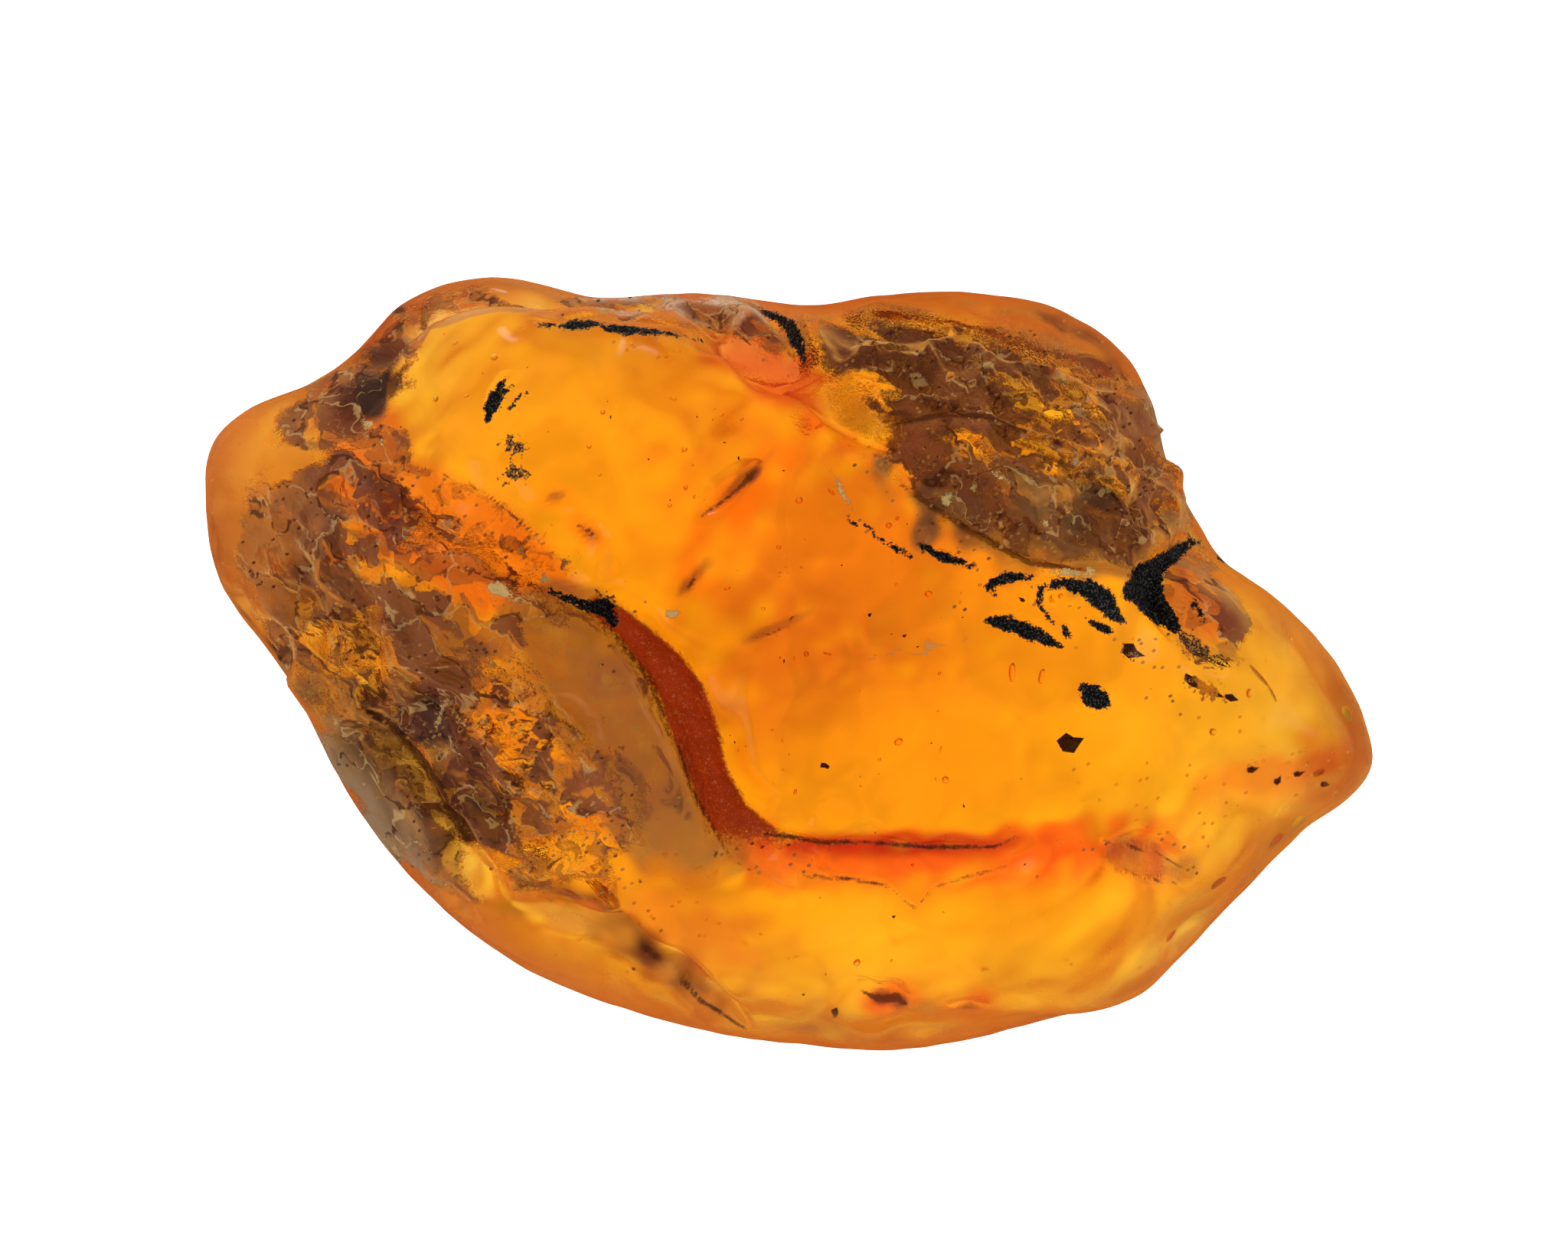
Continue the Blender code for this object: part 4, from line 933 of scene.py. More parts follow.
def rounded_cube(cuts):
    """Unit directions and quads of a cube's six gridded faces, rounded to a sphere.

    On each face two parameters run from -1 to 1. The tangent of each, as a share of an eighth of a turn,
    evens the spacing, and the point is pulled to unit length. Points that faces share are welded by their
    place on the cube's lattice.
    """
    steps = np.arange(cuts + 1)
    first, second = (part.ravel() for part in np.meshgrid(steps, steps, indexing="ij"))
    corner = np.arange((cuts + 1) ** 2).reshape(cuts + 1, cuts + 1)
    ring = [corner[:-1, :-1], corner[1:, :-1], corner[1:, 1:], corner[:-1, 1:]]
    ring = np.stack(ring, axis=-1).reshape(-1, 4)
    places, quads = [], []
    for axis in range(3):
        for end in (0, cuts):
            place = np.empty((len(first), 3), int)
            place[:, axis] = end
            place[:, (axis + 1) % 3] = first
            place[:, (axis + 2) % 3] = second
            quads.append((ring if end else ring[:, ::-1]) + len(first) * len(places))
            places.append(place)
    lattice, weld = np.unique(np.concatenate(places), axis=0, return_inverse=True)
    evened = np.tan((2 * lattice / cuts - 1) * math.pi / 4)
    return evened / np.linalg.norm(evened, axis=1)[:, None], weld.ravel()[np.concatenate(quads)]


def vertex_normals(points, quads):
    """Unit normals: the sum of the cross products of the diagonals of the quads that meet at a point."""
    crosses = np.cross(points[quads[:, 2]] - points[quads[:, 0]], points[quads[:, 3]] - points[quads[:, 1]])
    normals = np.column_stack([
        sum(np.bincount(quads[:, corner], crosses[:, axis], len(points)) for corner in range(4))
        for axis in range(3)
    ])
    return normals / np.maximum(np.linalg.norm(normals, axis=1), 1e-12)[:, None]


def fine_relief(points, normals):
    """How far each point is pushed out along its normal: the upper side's folds, ledges, chips and crust, and
    the under side's swells, each fading out at the widest contour, with soft waves over both."""
    plan = points[:, :2]
    facing = smooth_step(normals[:, 2], *TURNED_UP)
    turned_down = smooth_step(-normals[:, 2], *TURNED_DOWN)
    upper = swell_relief(plan, TOP_SWELLS) + fold_relief(plan) + ledge_relief(plan) + pit_relief(plan)
    upper += crust_relief(plan) + red_floor_relief(plan) + stroke_relief(plan)
    under = swell_relief(plan, BASE_SWELLS)
    waviness = np.zeros(len(points))
    for turn, (spacing, height) in enumerate(WAVES, 1):
        waviness += height * wave_field(points, spacing, SEED + turn)
    spacing, height = SKIN_WAVE
    skin = height * wave_field(points, spacing, SEED + 3)
    return facing * (upper + waviness) + turned_down * (under + waviness) + skin


def fit_to_solid(points):
    """Grinds the under side flat, with a rounded edge, and stretches the points to the solid's box."""
    low, high = (np.array(corner) / MM for corner in SOLID_BOX)
    height = points[:, 2]
    turned = (height + GROUND_EDGE) ** 2 / (4 * GROUND_EDGE)
    ground = np.where(np.abs(height) < GROUND_EDGE, turned, np.maximum(height, 0.0))
    points = np.column_stack([points[:, :2], ground])
    own_low, own_high = points.min(0), points.max(0)
    return low + (points - own_low) / (own_high - own_low) * (high - low)


def add_mesh(name, points, quads, material):
    """A smooth-shaded object at the origin, with its points given in millimetres."""
    mesh = bpy.data.meshes.new(name)
    mesh.from_pydata(points * MM, [], quads)
    mesh.shade_smooth()
    mesh.materials.append(material)
    piece = bpy.data.objects.new(name, mesh)
    bpy.context.scene.collection.objects.link(piece)
    return piece


def add_layer(piece, name, kind, entry, values):
    """Numbers for each vertex, which the materials read by name."""
    layer = piece.data.attributes.new(name, kind, "POINT")
    layer.data.foreach_set(entry, np.asarray(values, np.float32).ravel())


def scatter(template, quads, centres, sizes, frames):
    """Copies of one small closed shape: each point is scaled by its copy's three sizes, turned by the copy's
    three axes and moved to its centre."""
    scaled = template[None, :, :] * sizes[:, None, :]
    placed = np.einsum("cpi,cij->cpj", scaled, frames) + centres[:, None, :]
    offsets = np.arange(len(centres))[:, None, None] * len(template)
    return placed.reshape(-1, 3), (quads[None] + offsets).reshape(-1, 4)


def random_frames(draw, count, lean):
    """Three square axes for each copy: the third leans from upright by up to lean radians."""
    spin = draw.uniform(0, 2 * math.pi, count)
    tilt = draw.uniform(0, lean, count)
    heading = draw.uniform(0, 2 * math.pi, count)
    up = np.column_stack([np.sin(tilt) * np.cos(heading), np.sin(tilt) * np.sin(heading), np.cos(tilt)])
    side = np.column_stack([np.cos(spin), np.sin(spin), np.zeros(count)])
    side -= (side * up).sum(1)[:, None] * up
    side /= np.linalg.norm(side, axis=1)[:, None]
    return np.stack([side, np.cross(up, side), up], axis=1)


# Materials


class Number:
    """A number's socket in a material. Maths on it adds Math nodes, so that 1 - mask works."""

    def __init__(self, finish, socket):
        self.finish = finish
        self.socket = socket

    def maths(self, operation, *values):
        return self.finish.add("Math", {"operation": operation}, dict(enumerate(values)))

    def __add__(self, other):
        return self.maths("ADD", self, other)

    def __sub__(self, other):
        return self.maths("SUBTRACT", self, other)

    def __rsub__(self, other):
        return self.maths("SUBTRACT", other, self)

    def __mul__(self, other):
        return self.maths("MULTIPLY", self, other)

    __radd__ = __add__
    __rmul__ = __mul__

    def size(self):
        return self.maths("ABSOLUTE", self)

    def larger(self, other):
        return self.maths("MAXIMUM", self, other)

    def rise(self, low, high):
        """0 at low, 1 at high, and an S-curve between."""
        settings = {"interpolation_type": "SMOOTHSTEP"}
        sockets = {"Value": self, "From Min": low, "From Max": high}
        return self.finish.add("MapRange", settings, sockets)


class Nodes:
    """The nodes of one material or world, made one by one."""

    def __init__(self, owner):
        owner.use_nodes = True
        self.tree = owner.node_tree
        self.tree.nodes.clear()

    def add(self, kind, settings=None, sockets=None, out=0):
        """A node of any kind: its settings first, then its sockets' values or links. Returns one output."""
        node = self.tree.nodes.new("ShaderNode" + kind)
        for name, value in (settings or {}).items():
            setattr(node, name, value)
        for name, value in (sockets or {}).items():
            if isinstance(value, Number):
                self.tree.links.new(value.socket, node.inputs[name])
            else:
                node.inputs[name].default_value = value
        return Number(self, node.outputs[out]) if node.outputs else None

    def mirroring(self):
        """1 where something is seen in a mirroring, and 0 where it is seen plainly or through the amber."""
        return self.add("LightPath", out="Is Reflection Ray") * self.add("LightPath", out="Is Glossy Ray")


class Finish(Nodes):
    """One material, whose patterns lie in the piece's own millimetres."""

    def __init__(self, name):
        self.material = bpy.data.materials.new(name)
        super().__init__(self.material)
        place = self.add("TexCoord", out="Object")
        self.place = self.add("Mapping", {"vector_type": "POINT"}, {"Vector": place, "Scale": (1 / MM,) * 3})

    def value(self, name):
        """A number that the piece holds for each of its points."""
        return self.add("Attribute", {"attribute_name": name}, out="Fac")

    def colour(self, name):
        """A colour that the piece holds for each of its points."""
        return self.add("Attribute", {"attribute_name": name}, out="Color")

    def noise(self, spacing, detail, roughness=0.55):
        """Cloudy noise, 0 to 1, with features about spacing millimetres wide."""
        sockets = {"Vector": self.place, "Scale": 1 / spacing, "Detail": detail, "Roughness": roughness}
        return self.add("TexNoise", None, sockets)

    def flakes(self, place, spacing, turn, stretch):
        """Broken cells in plan, drawn out along a direction: each one's random value, how far out in it a
        point lies, and the gap to its edge in millimetres."""
        turned = {"Vector": place, "Rotation": (0.0, 0.0, math.radians(turn)), "Scale": (stretch, 1.0, 1.0)}
        drawn = self.add("Mapping", {"vector_type": "TEXTURE"}, turned)
        sockets = {"Vector": drawn, "Scale": 1 / spacing}
        kinds = {"voronoi_dimensions": "2D", "feature": "F1"}
        colour = self.add("TexVoronoi", kinds, sockets, out="Color")
        dome = Number(self, colour.socket.node.outputs["Distance"])
        edges = self.add("TexVoronoi", kinds | {"feature": "DISTANCE_TO_EDGE"}, sockets, out="Distance")
        return self.add("SeparateXYZ", None, {0: colour}, out="X"), dome, edges * spacing

    def blend(self, share, first, second, kind="MIX"):
        """Two colours mixed by a share."""
        settings = {"data_type": "RGBA", "blend_type": kind, "clamp_factor": True}
        return self.add("Mix", settings, {0: share, 6: rgba(first), 7: rgba(second)}, out=2)

    def bump(self, height, distance):
        """A normal that follows a height, whose unit is that distance in metres."""
        return self.add("Bump", None, {"Height": height, "Distance": distance, "Strength": 1.0})

    def shader(self, **sockets):
        """A Principled shader. Underscores in the names stand for spaces."""
        named = {name.replace("_", " "): value for name, value in sockets.items()}
        return self.add("BsdfPrincipled", None, named)

    def finish(self, surface, volume=None):
        """Joins the shaders to the material's output."""
        self.add("OutputMaterial", None, {"Surface": surface} | ({"Volume": volume} if volume else {}))
        return self.material


def rgba(colour):
    """A plain colour with its alpha, or a link as it is."""
    return colour if isinstance(colour, Number) else (*colour, 1.0)


def amber_finish(look):
    """Clear amber, tinted in zones and cloudy in places, under a dense skin of crust, red fold and char."""
    finish = Finish("polished_amber")
    grain, fine = finish.noise(*GRAIN), finish.noise(*FINE_GRAIN)
    ragged = (grain - 0.5) * FRAY[0] + (fine - 0.5) * FRAY[1]
    clouds, layers, flow = (finish.value(name) for name in ("clouds", "layers", "flow"))
    masks = {
        name: (finish.value(name) + ragged * fray).rise(low, high)
        for name, (fray, low, high) in MARKS.items()
    }
    masks["cracks"] = 1 - masks["cracks"]
    char, red, chips, seams_and_shadow, cracks = masks.values()
    speckles = (finish.value("speckles") * 0.8 + (grain - 0.62) * 1.6).rise(*RISES["speckles"])
    edge = (finish.value("crust") + (layers - 0.5) * 2.2 + ragged).rise(*RISES["edge"])
    dense = finish.value("dense") * (0.75 + (clouds - 0.4) * 0.8)

    # Broken flakes of crust in two sizes, lying in layers: each one's value, dome and gap to its edge
    wandering = finish.add("Attribute", {"attribute_name": "wandering"}, out="Vector")
    broad, broad_dome, broad_gap = finish.flakes(wandering, *BROAD_FLAKES)
    small, small_dome, _ = finish.flakes(wandering, *SMALL_FLAKES)
    facet = broad * 0.55 + small * 0.45 + (layers - 0.5 + finish.value("lit")) * 0.6
    pane, glow = facet.rise(*RISES["pane"]), facet.rise(*RISES["glow"])
    broken = (flow + grain * 0.5).rise(*RISES["broken"])
    ridges = (1 - broad_gap.rise(*RISES["ridges"])) * edge * broken
    rifts = (1 - broad_gap.rise(*RISES["rifts"])) * edge * (1 - broken)
    wrinkles = 1 - (flow - 0.5).size().rise(*RISES["wrinkles"])
    lines = wrinkles * edge * grain.rise(*RISES["wrinkle_gaps"])
    dusty = (lines * 0.3 + fine * 0.7 + grain * 0.6).rise(*RISES["dust"]) * edge

    # Specks: small round cells, some of them filled
    cell, cell_dome, _ = finish.flakes(finish.place, *SPECK_CELLS)
    chosen = (cell + finish.value("specks") * 0.22 - 1).rise(*RISES["chosen"])
    specks = chosen * (1 - cell_dome.rise(*RISES["speck_edge"]))

    # The dense skin: dark between the crust's layers, gold where they are thin, cream dust on their crests
    base = finish.colour("skin")
    gold = finish.blend((flow - 0.35) * 2.2, base, look.crust_gold)
    coloured = finish.blend(pane * 0.5 + glow * 0.5, base, gold)
    coloured = finish.blend(rifts * 0.8, coloured, look.seam_dark_and_shadow)
    coloured = finish.blend(lines * 0.8, coloured, look.crust_gold)
    crests = (dusty * 0.6).larger(ridges * 0.6).larger(cracks * 0.8)
    coloured = finish.blend(crests, coloured, look.crust_cream)
    brick = finish.blend((grain * 0.7 + flow * 0.5).rise(*RISES["brick"]), look.fold_dark, look.fold_red)
    brick = finish.blend((fine + grain).rise(*RISES["brick_dust"]) * 0.55, brick, look.crust_cream)
    coloured = finish.blend(red, coloured, brick)
    # the seams' dark colour includes a painted shadow along the red fold's left wall
    coloured = finish.blend(seams_and_shadow, coloured, look.seam_dark_and_shadow)
    coloured = finish.blend(chips, coloured, look.crust_cream)
    speck = finish.blend(small.rise(*RISES["gold_specks"]), look.seam_dark_and_shadow, look.crust_gold)
    coloured = finish.blend(specks * 0.9, coloured, speck)
    speckle = finish.blend(fine.rise(*RISES["gold_speckles"]), look.seam_dark_and_shadow, look.crust_gold)
    coloured = finish.blend(speckles * 0.9, coloured, speckle)
    ash = finish.blend(fine.rise(*RISES["ash"]) * 0.6, look.char_black, look.char_ash)
    coloured = finish.blend(char, coloured, ash)

    rough = finish.value("rough").larger(red * 0.8).larger(char).larger(chips)
    relief = (grain * 0.8 + fine * 0.25) * rough + (broad_dome * 2.0 + small_dome) * edge
    broken_normal = finish.bump(relief, look.crust_bump)
    skin = finish.shader(
        Base_Color=coloured, Roughness=0.42 + rough * 0.3, Normal=broken_normal, IOR=look.amber_ior,
        Coat_Weight=(1 - rough) * (0.6 - edge * 0.4), Coat_Roughness=0.06, Specular_IOR_Level=0.15,
    )

    # The clear amber: darker in wisps, and under the crust between deep brown and gold
    shade = 1 - clouds.rise(*RISES["wisps"]) * 0.2
    mottled = finish.blend(pane * 0.45 + glow * 0.55, look.crust_deep, look.crust_lit)
    mottled = finish.blend(edge, finish.add("CombineColor", None, {0: shade, 1: shade, 2: shade}), mottled)
    tint = finish.blend(1.0, finish.colour("tint"), mottled, "MULTIPLY")
    tint = finish.blend(red, tint, look.fold_glow)
    cloud = finish.value("cloud")
    clear = finish.shader(
        Base_Color=tint, Roughness=0.03 + cloud.larger(edge * 0.2) * 0.5, Normal=broken_normal,
        Transmission_Weight=1.0, IOR=look.amber_ior,
    )

    # Where the rims are milky, light from below and behind soaks through the skin
    soaked = finish.add("BsdfTranslucent", None, {"Color": rgba(look.rim_light)})
    milky = (cloud * 2.0).rise(*RISES["milky"]) * (1 - edge) * (1 - char)
    skin = finish.add("MixShader", None, {0: milky * look.rim_soak, 1: skin, 2: soaked})

    masks |= {"speckles": speckles, "lines": lines, "ridges": ridges}
    masks |= {"dusty": dusty, "rifts": rifts, "specks": specks}
    solid = (edge * (0.75 - pane * 0.35 - glow * 0.3)).larger(dense)
    for name, share in CLOSED.items():
        solid = solid.larger(masks[name] * share)
    surface = finish.add("MixShader", None, {0: solid, 1: clear, 2: skin})
    volume = finish.add("VolumeAbsorption", None, {"Color": rgba(look.absorbed), "Density": look.density})
    return finish.finish(surface, volume)


def bubble_finish(look):
    """Air in amber: it bends light the other way, so its bending is one over the amber's."""
    finish = Finish("air_bubbles")
    speck = finish.noise(0.1, 2.0)
    return finish.finish(finish.shader(
        Base_Color=finish.blend(speck, (1.0, 0.95, 0.8), (1.0, 0.8, 0.45)), Roughness=0.02 + speck * 0.06,
        Transmission_Weight=1.0, IOR=1 / look.amber_ior,
    ))


def spangle_finish():
    """The gilt of thin stress discs, which mirror the light inside the amber."""
    finish = Finish("stress_spangles")
    speck = finish.noise(0.15, 3.0)
    return finish.finish(finish.shader(
        Base_Color=finish.blend(speck, (1.0, 0.86, 0.35), (0.95, 0.6, 0.08)), Roughness=0.12 + speck * 0.2,
        Metallic=0.9,
    ))


def debris_finish():
    """Rotted wood and soil dust sealed in the resin."""
    finish = Finish("plant_debris")
    speck = finish.noise(0.12, 3.0)
    return finish.finish(finish.shader(
        Base_Color=finish.blend(speck.rise(0.3, 0.7), (0.03, 0.014, 0.006), (0.16, 0.06, 0.015)),
        Roughness=0.5 + speck * 0.3,
    ))


def table_finish(stage):
    """The opal sheet of a light table. What the polished skin mirrors of it is dimmed, as by a polarising
    filter."""
    finish = Finish("opal_light_table")
    cloud = finish.noise(40.0, 2.0)
    pale = finish.blend(cloud, (0.93, 0.93, 0.93), (0.95, 0.95, 0.95))
    opal, dimmed = (
        finish.shader(
            Base_Color=base, Roughness=0.6 + cloud * 0.05, Specular_IOR_Level=0.1, Emission_Color=pale,
            Emission_Strength=stage.table_glow * share,
        )
        for base, share in ((pale, 1.0), ((0.02, 0.02, 0.02, 1.0), stage.mirrored))
    )
    return finish.finish(finish.add("MixShader", None, {0: finish.mirroring(), 1: opal, 2: dimmed}))


# The pieces


def skin_marks(points, upper, slope):
    """What lies where on the skin. Upper is 1 on the upper side, and slope is 1 on the steep skin at its rim.
    Crust, char, chips, speckles, seams, cracks and red fold are signed distances. The rest are levels."""
    plan = points[:, :2]
    hidden = HIDDEN * (1 - upper)
    lobe, band = inside_field(plan, LOBE), inside_field(plan, BAND)
    crust = np.maximum.reduce([inside_field(plan, border) for border, _ in CRUST_FIELDS])
    crust = np.minimum(crust, -oval_union(plan, WINDOWS))
    spacing, less = UNDER_PATCHES
    under_patch = np.minimum(crust, wave_field(points, spacing, SEED + 80) - less)
    crust = np.maximum.reduce([crust, oval_union(plan, CRUST_PATCHES), np.minimum(band, BAND_CRUST)])
    crust = np.minimum(crust, LOBE_BORDER - lobe)
    dense = np.maximum(zone_level(plan, DENSE_ZONES), LOBE_DENSITY * smooth_step(lobe, *LOBE_EDGE))
    red = np.minimum(inside_field(plan, RED_FLOOR), (plan[:, 1] + RED_END[0]) * RED_END[1])
    cloud = np.maximum(zone_level(plan, CLOUDY_ZONES), RIM_CLOUD * slope)
    layers = stretched(points, CRUST_SLANT, CRUST_STRETCH)
    return {
        "char": strokes_field(plan, CHAR_STROKES) - hidden,
        "seams_and_shadow": strokes_field(plan, SEAM_AND_SHADOW_STROKES) - hidden,
        "speckles": oval_union(plan, CHAR_SPECKLES) - hidden,
        "chips": oval_union(plan, CREAM_CHIPS) - hidden,
        "red": red - hidden,
        "crust": np.maximum(crust - hidden, under_patch),
        "cracks": crack_field(plan) + hidden,
        "dense": np.maximum(upper * dense, RIM_DENSITY * slope),
        "specks": upper * zone_level(plan, SPECK_ZONES),
        "rough": upper * zone_level(plan, ROUGH_ZONES),
        "cloud": UNDER_CLOUD + upper * (cloud - UNDER_CLOUD),
        "clouds": cloud_field(points, CLOUD_SPACING, SEED + 20),
        "layers": cloud_field(layers, LAYER_SPACING, SEED + 30),
        "lit": zone_paint(plan, (0.0,), LAYER_ZONES)[:, 0] + BAND_LIT * smooth_step(band, *BAND_EDGE),
        "flow": cloud_field(stretched(points, *FLOW), FLOW_SPACING, SEED + 35, 3),
    }


def skin_colours(plan, upper, slope):
    """The tint that the clear skin gives to light, lighter on the sloping rim as a painted glow, and the
    colour of the dense skin, which round the edge is partly a painted glow and highlight.
    """
    painted = area_paint(plan, zone_paint(plan, GOLD, TINT_ZONES), TINT_AREAS)
    tint = 1.0 + upper * (painted ** 2 - 1.0)
    skin, milky = zone_paint(plan, UMBER, SKIN_ZONES), zone_paint(plan, MILKY_AND_GLOW, RIM_COLOUR_AND_GLOW_ZONES)
    return {
        # painted glow: the tint is lighter on the sloping rim than on the flat skin
        "tint": tint * (FLAT_SHADE_SHARE + slope * (np.array(RIM_GLOW_SHARE) - FLAT_SHADE_SHARE)),
        # the dense skin round the edge takes the rims' colours, partly a painted glow and highlight
        "skin": skin + slope * (milky - skin),
    }


def skin_depths(plan):
    """Heights of the under skin and the upper skin at each place in plan, found by a ray from either side."""
    skin = bpy.data.objects["polished_lump"]
    found = []
    for start, heading in ((-1.0, 1.0), (1.0, -1.0)):
        hits = [skin.ray_cast((x * MM, y * MM, start), (0.0, 0.0, heading)) for x, y in plan]
        found.append([place.z / MM if hit else 0.0 for hit, place, _, _ in hits])
    return np.array(found)


def add_inclusions(name, template, quads, inclusions, material, draw, lean):
    """Copies of a small shape, sealed in the lump. Each inclusion is x, y, depth below the upper skin as a
    share of the way down, half length, half width, half height and turn in degrees."""
    table = np.array(inclusions, float)
    under, upper = skin_depths(table[:, :2])
    sizes = table[:, 3:6]
    deepest = upper - under - 2 * sizes.max(1) - SKIN_COVER
    kept = deepest > SKIN_COVER
    drop = SKIN_COVER + sizes.max(1) + table[:, 2] * deepest
    centres = np.column_stack([table[:, :2], upper - drop])[kept]
    frames = random_frames(draw, len(table), lean)[kept]
    turn = np.radians(table[kept, 6])
    along = np.column_stack([np.cos(turn), np.sin(turn), np.zeros(len(turn))])
    along -= (along * frames[:, 2]).sum(1)[:, None] * frames[:, 2]
    along /= np.linalg.norm(along, axis=1)[:, None]
    frames = np.stack([along, np.cross(frames[:, 2], along), frames[:, 2]], axis=1)
    points, faces = scatter(template, quads, centres, sizes[kept], frames)
    return add_mesh(name, points, faces, material)


def scattered_places(draw, count):
    """Seeded places in plan inside a shrunken copy of the outline."""
    angle = draw.uniform(-math.pi, math.pi, count)
    reach = outline_radius(angle) * SCATTER_REACH * np.sqrt(draw.uniform(0, 1, count))
    return np.column_stack([reach * np.cos(angle), reach * np.sin(angle)])


def usual_sizes(draw, size, count):
    """Seeded sizes about a usual one, whose logarithms spread by the second number."""
    return draw.lognormal(math.log(size[0]), size[1], count)


def settle(piece):
    """Fixes a finished piece to the lump's one body."""
    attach(piece, "root")


def count_setting(name, description, default, most, least=0):
    return bpy.props.IntProperty(name=name, description=description, default=default, min=least, max=most)


def colour_setting(name, description, default):
    return bpy.props.FloatVectorProperty(
        name=name, description=description, default=default, subtype="COLOR", min=0.0, max=1.0,
    )


def number_setting(name, description, default, **limits):
    limits = {"min": 0.0} | limits
    return bpy.props.FloatProperty(name=name, description=description, default=default, **limits)


class AmberShape(bpy.types.PropertyGroup):
    """How finely the lump is made, and how much is sealed in it."""

    skin_cuts: count_setting("Skin cuts", "Cuts along each edge of the rounded cube", 125, 128, 20)
    bubble_count: count_setting("Bubbles", "Gas bubbles scattered through the clear amber", 150, 600)
    dust_count: count_setting("Dust", "Specks of dust scattered through the amber", 120, 600)


class AmberLook(bpy.types.PropertyGroup):
    """Colours and finishes of the amber."""

    amber_ior: number_setting("Bending of light", "Index of refraction of amber", 1.54, min=1.3, max=1.8)
    absorbed: colour_setting("Clear amber", "Colour that thick clear amber keeps", (0.9959, 0.806, 0.0))
    density: number_setting("Density", "How much light a metre of amber takes", 240.0)
    rim_light: colour_setting("Rim light", "Colour that soaks through the milky rims", (0.93, 0.74, 0.5))
    rim_soak: number_setting(
        "Rim soak", "Share of the rims' light that comes from behind", 0.9, max=1.0, subtype="FACTOR")
    fold_glow: colour_setting("Fold glow", "Light that the red fold lets through", (0.2, 0.01, 0.02))
    crust_deep: colour_setting("Crust deep", "Light that the crust's thick layers pass", (0.16, 0.07, 0.03))
    crust_lit: colour_setting("Crust lit", "Light that the crust's thin layers pass", (0.95, 0.75, 0.5))
    crust_gold: colour_setting("Crust gold", "Colour of the crust's thin, lit layers", (0.42, 0.19, 0.035))
    crust_cream: colour_setting("Crust cream", "Colour of the crust's dust and chips", (0.72, 0.46, 0.16))
    # this dark colour also paints the shadow along the red fold's left wall
    seam_dark_and_shadow: colour_setting("Seam dark", "Colour in the dark seams and slits", (0.045, 0.008, 0.003))
    fold_red: colour_setting("Fold red", "Colour of the weathered red fold", (0.33, 0.035, 0.006))
    fold_dark: colour_setting("Fold dark", "Colour in the depths of the red fold", (0.12, 0.012, 0.004))
    char_black: colour_setting("Char black", "Colour of the burnt wood", (0.006, 0.005, 0.005))
    char_ash: colour_setting("Char ash", "Colour of the char's greyish grains", (0.1, 0.095, 0.075))
    crust_bump: number_setting(
        "Crust grain", "Height of the crust's finest grain", 0.00012, unit="LENGTH", precision=5)


class LightTable(bpy.types.PropertyGroup):
    """The opal table, the room's light and the camera."""

    table_size: number_setting("Table size", "Side of the opal sheet", 3.0, min=0.2, unit="LENGTH")
    table_glow: number_setting("Table glow", "Strength of the light that comes through the sheet", 1.25)
    mirrored: number_setting(
        "Mirrored share", "What a polarising filter leaves in mirrorings", 0.05, max=1.0, subtype="FACTOR")
    horizon: number_setting("Room at the horizon", "Brightness of the room low down", 1.6)
    overhead: number_setting("Room overhead", "Brightness of the room high up", 0.6)
    gleam: number_setting("Gleam", "Brightness of the panes that the polished skin mirrors", 1.0)
    camera_place: bpy.props.FloatVectorProperty(
        name="Camera", description="Place of the camera, which looks straight down", unit="LENGTH",
        subtype="TRANSLATION", default=(-0.00041, 0.0023, 0.2327),
    )
    camera_lens: number_setting("Lens", "Focal length in millimetres over a 36 mm sensor", 100.0, min=10.0)


class AMBER_OT_lump(bpy.types.Operator):
    """Make the lump's fine skin, with its folds, crust, char and cream chips"""

    bl_idname = "amber.lump"
    bl_label = "Polished lump"

    def execute(self, context):
        shape, look = context.scene.amber_shape, context.scene.amber_look
        directions, quads = rounded_cube(shape.skin_cuts)
        plain = lump_points(directions)
        normals = vertex_normals(plain, quads)
        points = fit_to_solid(plain + normals * fine_relief(plain, normals)[:, None])
        lump = add_mesh("polished_lump", points, quads, amber_finish(look))

        facing = vertex_normals(points, quads)[:, 2]
        upper = smooth_step(facing, *UPPER_EDGE)
        outer = smooth_step(outline_share(points[:, :2]), *RIM_REACH)
        slope = outer * (1 - smooth_step(np.abs(facing), *RIM_SLOPE))
        for name, values in skin_marks(points, upper, slope).items():
            add_layer(lump, name, "FLOAT", "value", values)
        pushed = [cloud_field(points, PUSH_SPACING, SEED + 90 + 5 * axis, 3) - 0.5 for axis in range(2)]
        pushed = np.column_stack([*pushed, np.zeros(len(points))])
        add_layer(lump, "wandering", "FLOAT_VECTOR", "vector", points + FLAKE_PUSH * pushed)
        for name, colours in skin_colours(points[:, :2], upper[:, None], slope[:, None]).items():
            colours = np.column_stack([colours, np.ones(len(colours))])
            add_layer(lump, name, "FLOAT_COLOR", "color", colours)
        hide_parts("amber_piece")
        settle(lump)
        return {"FINISHED"}


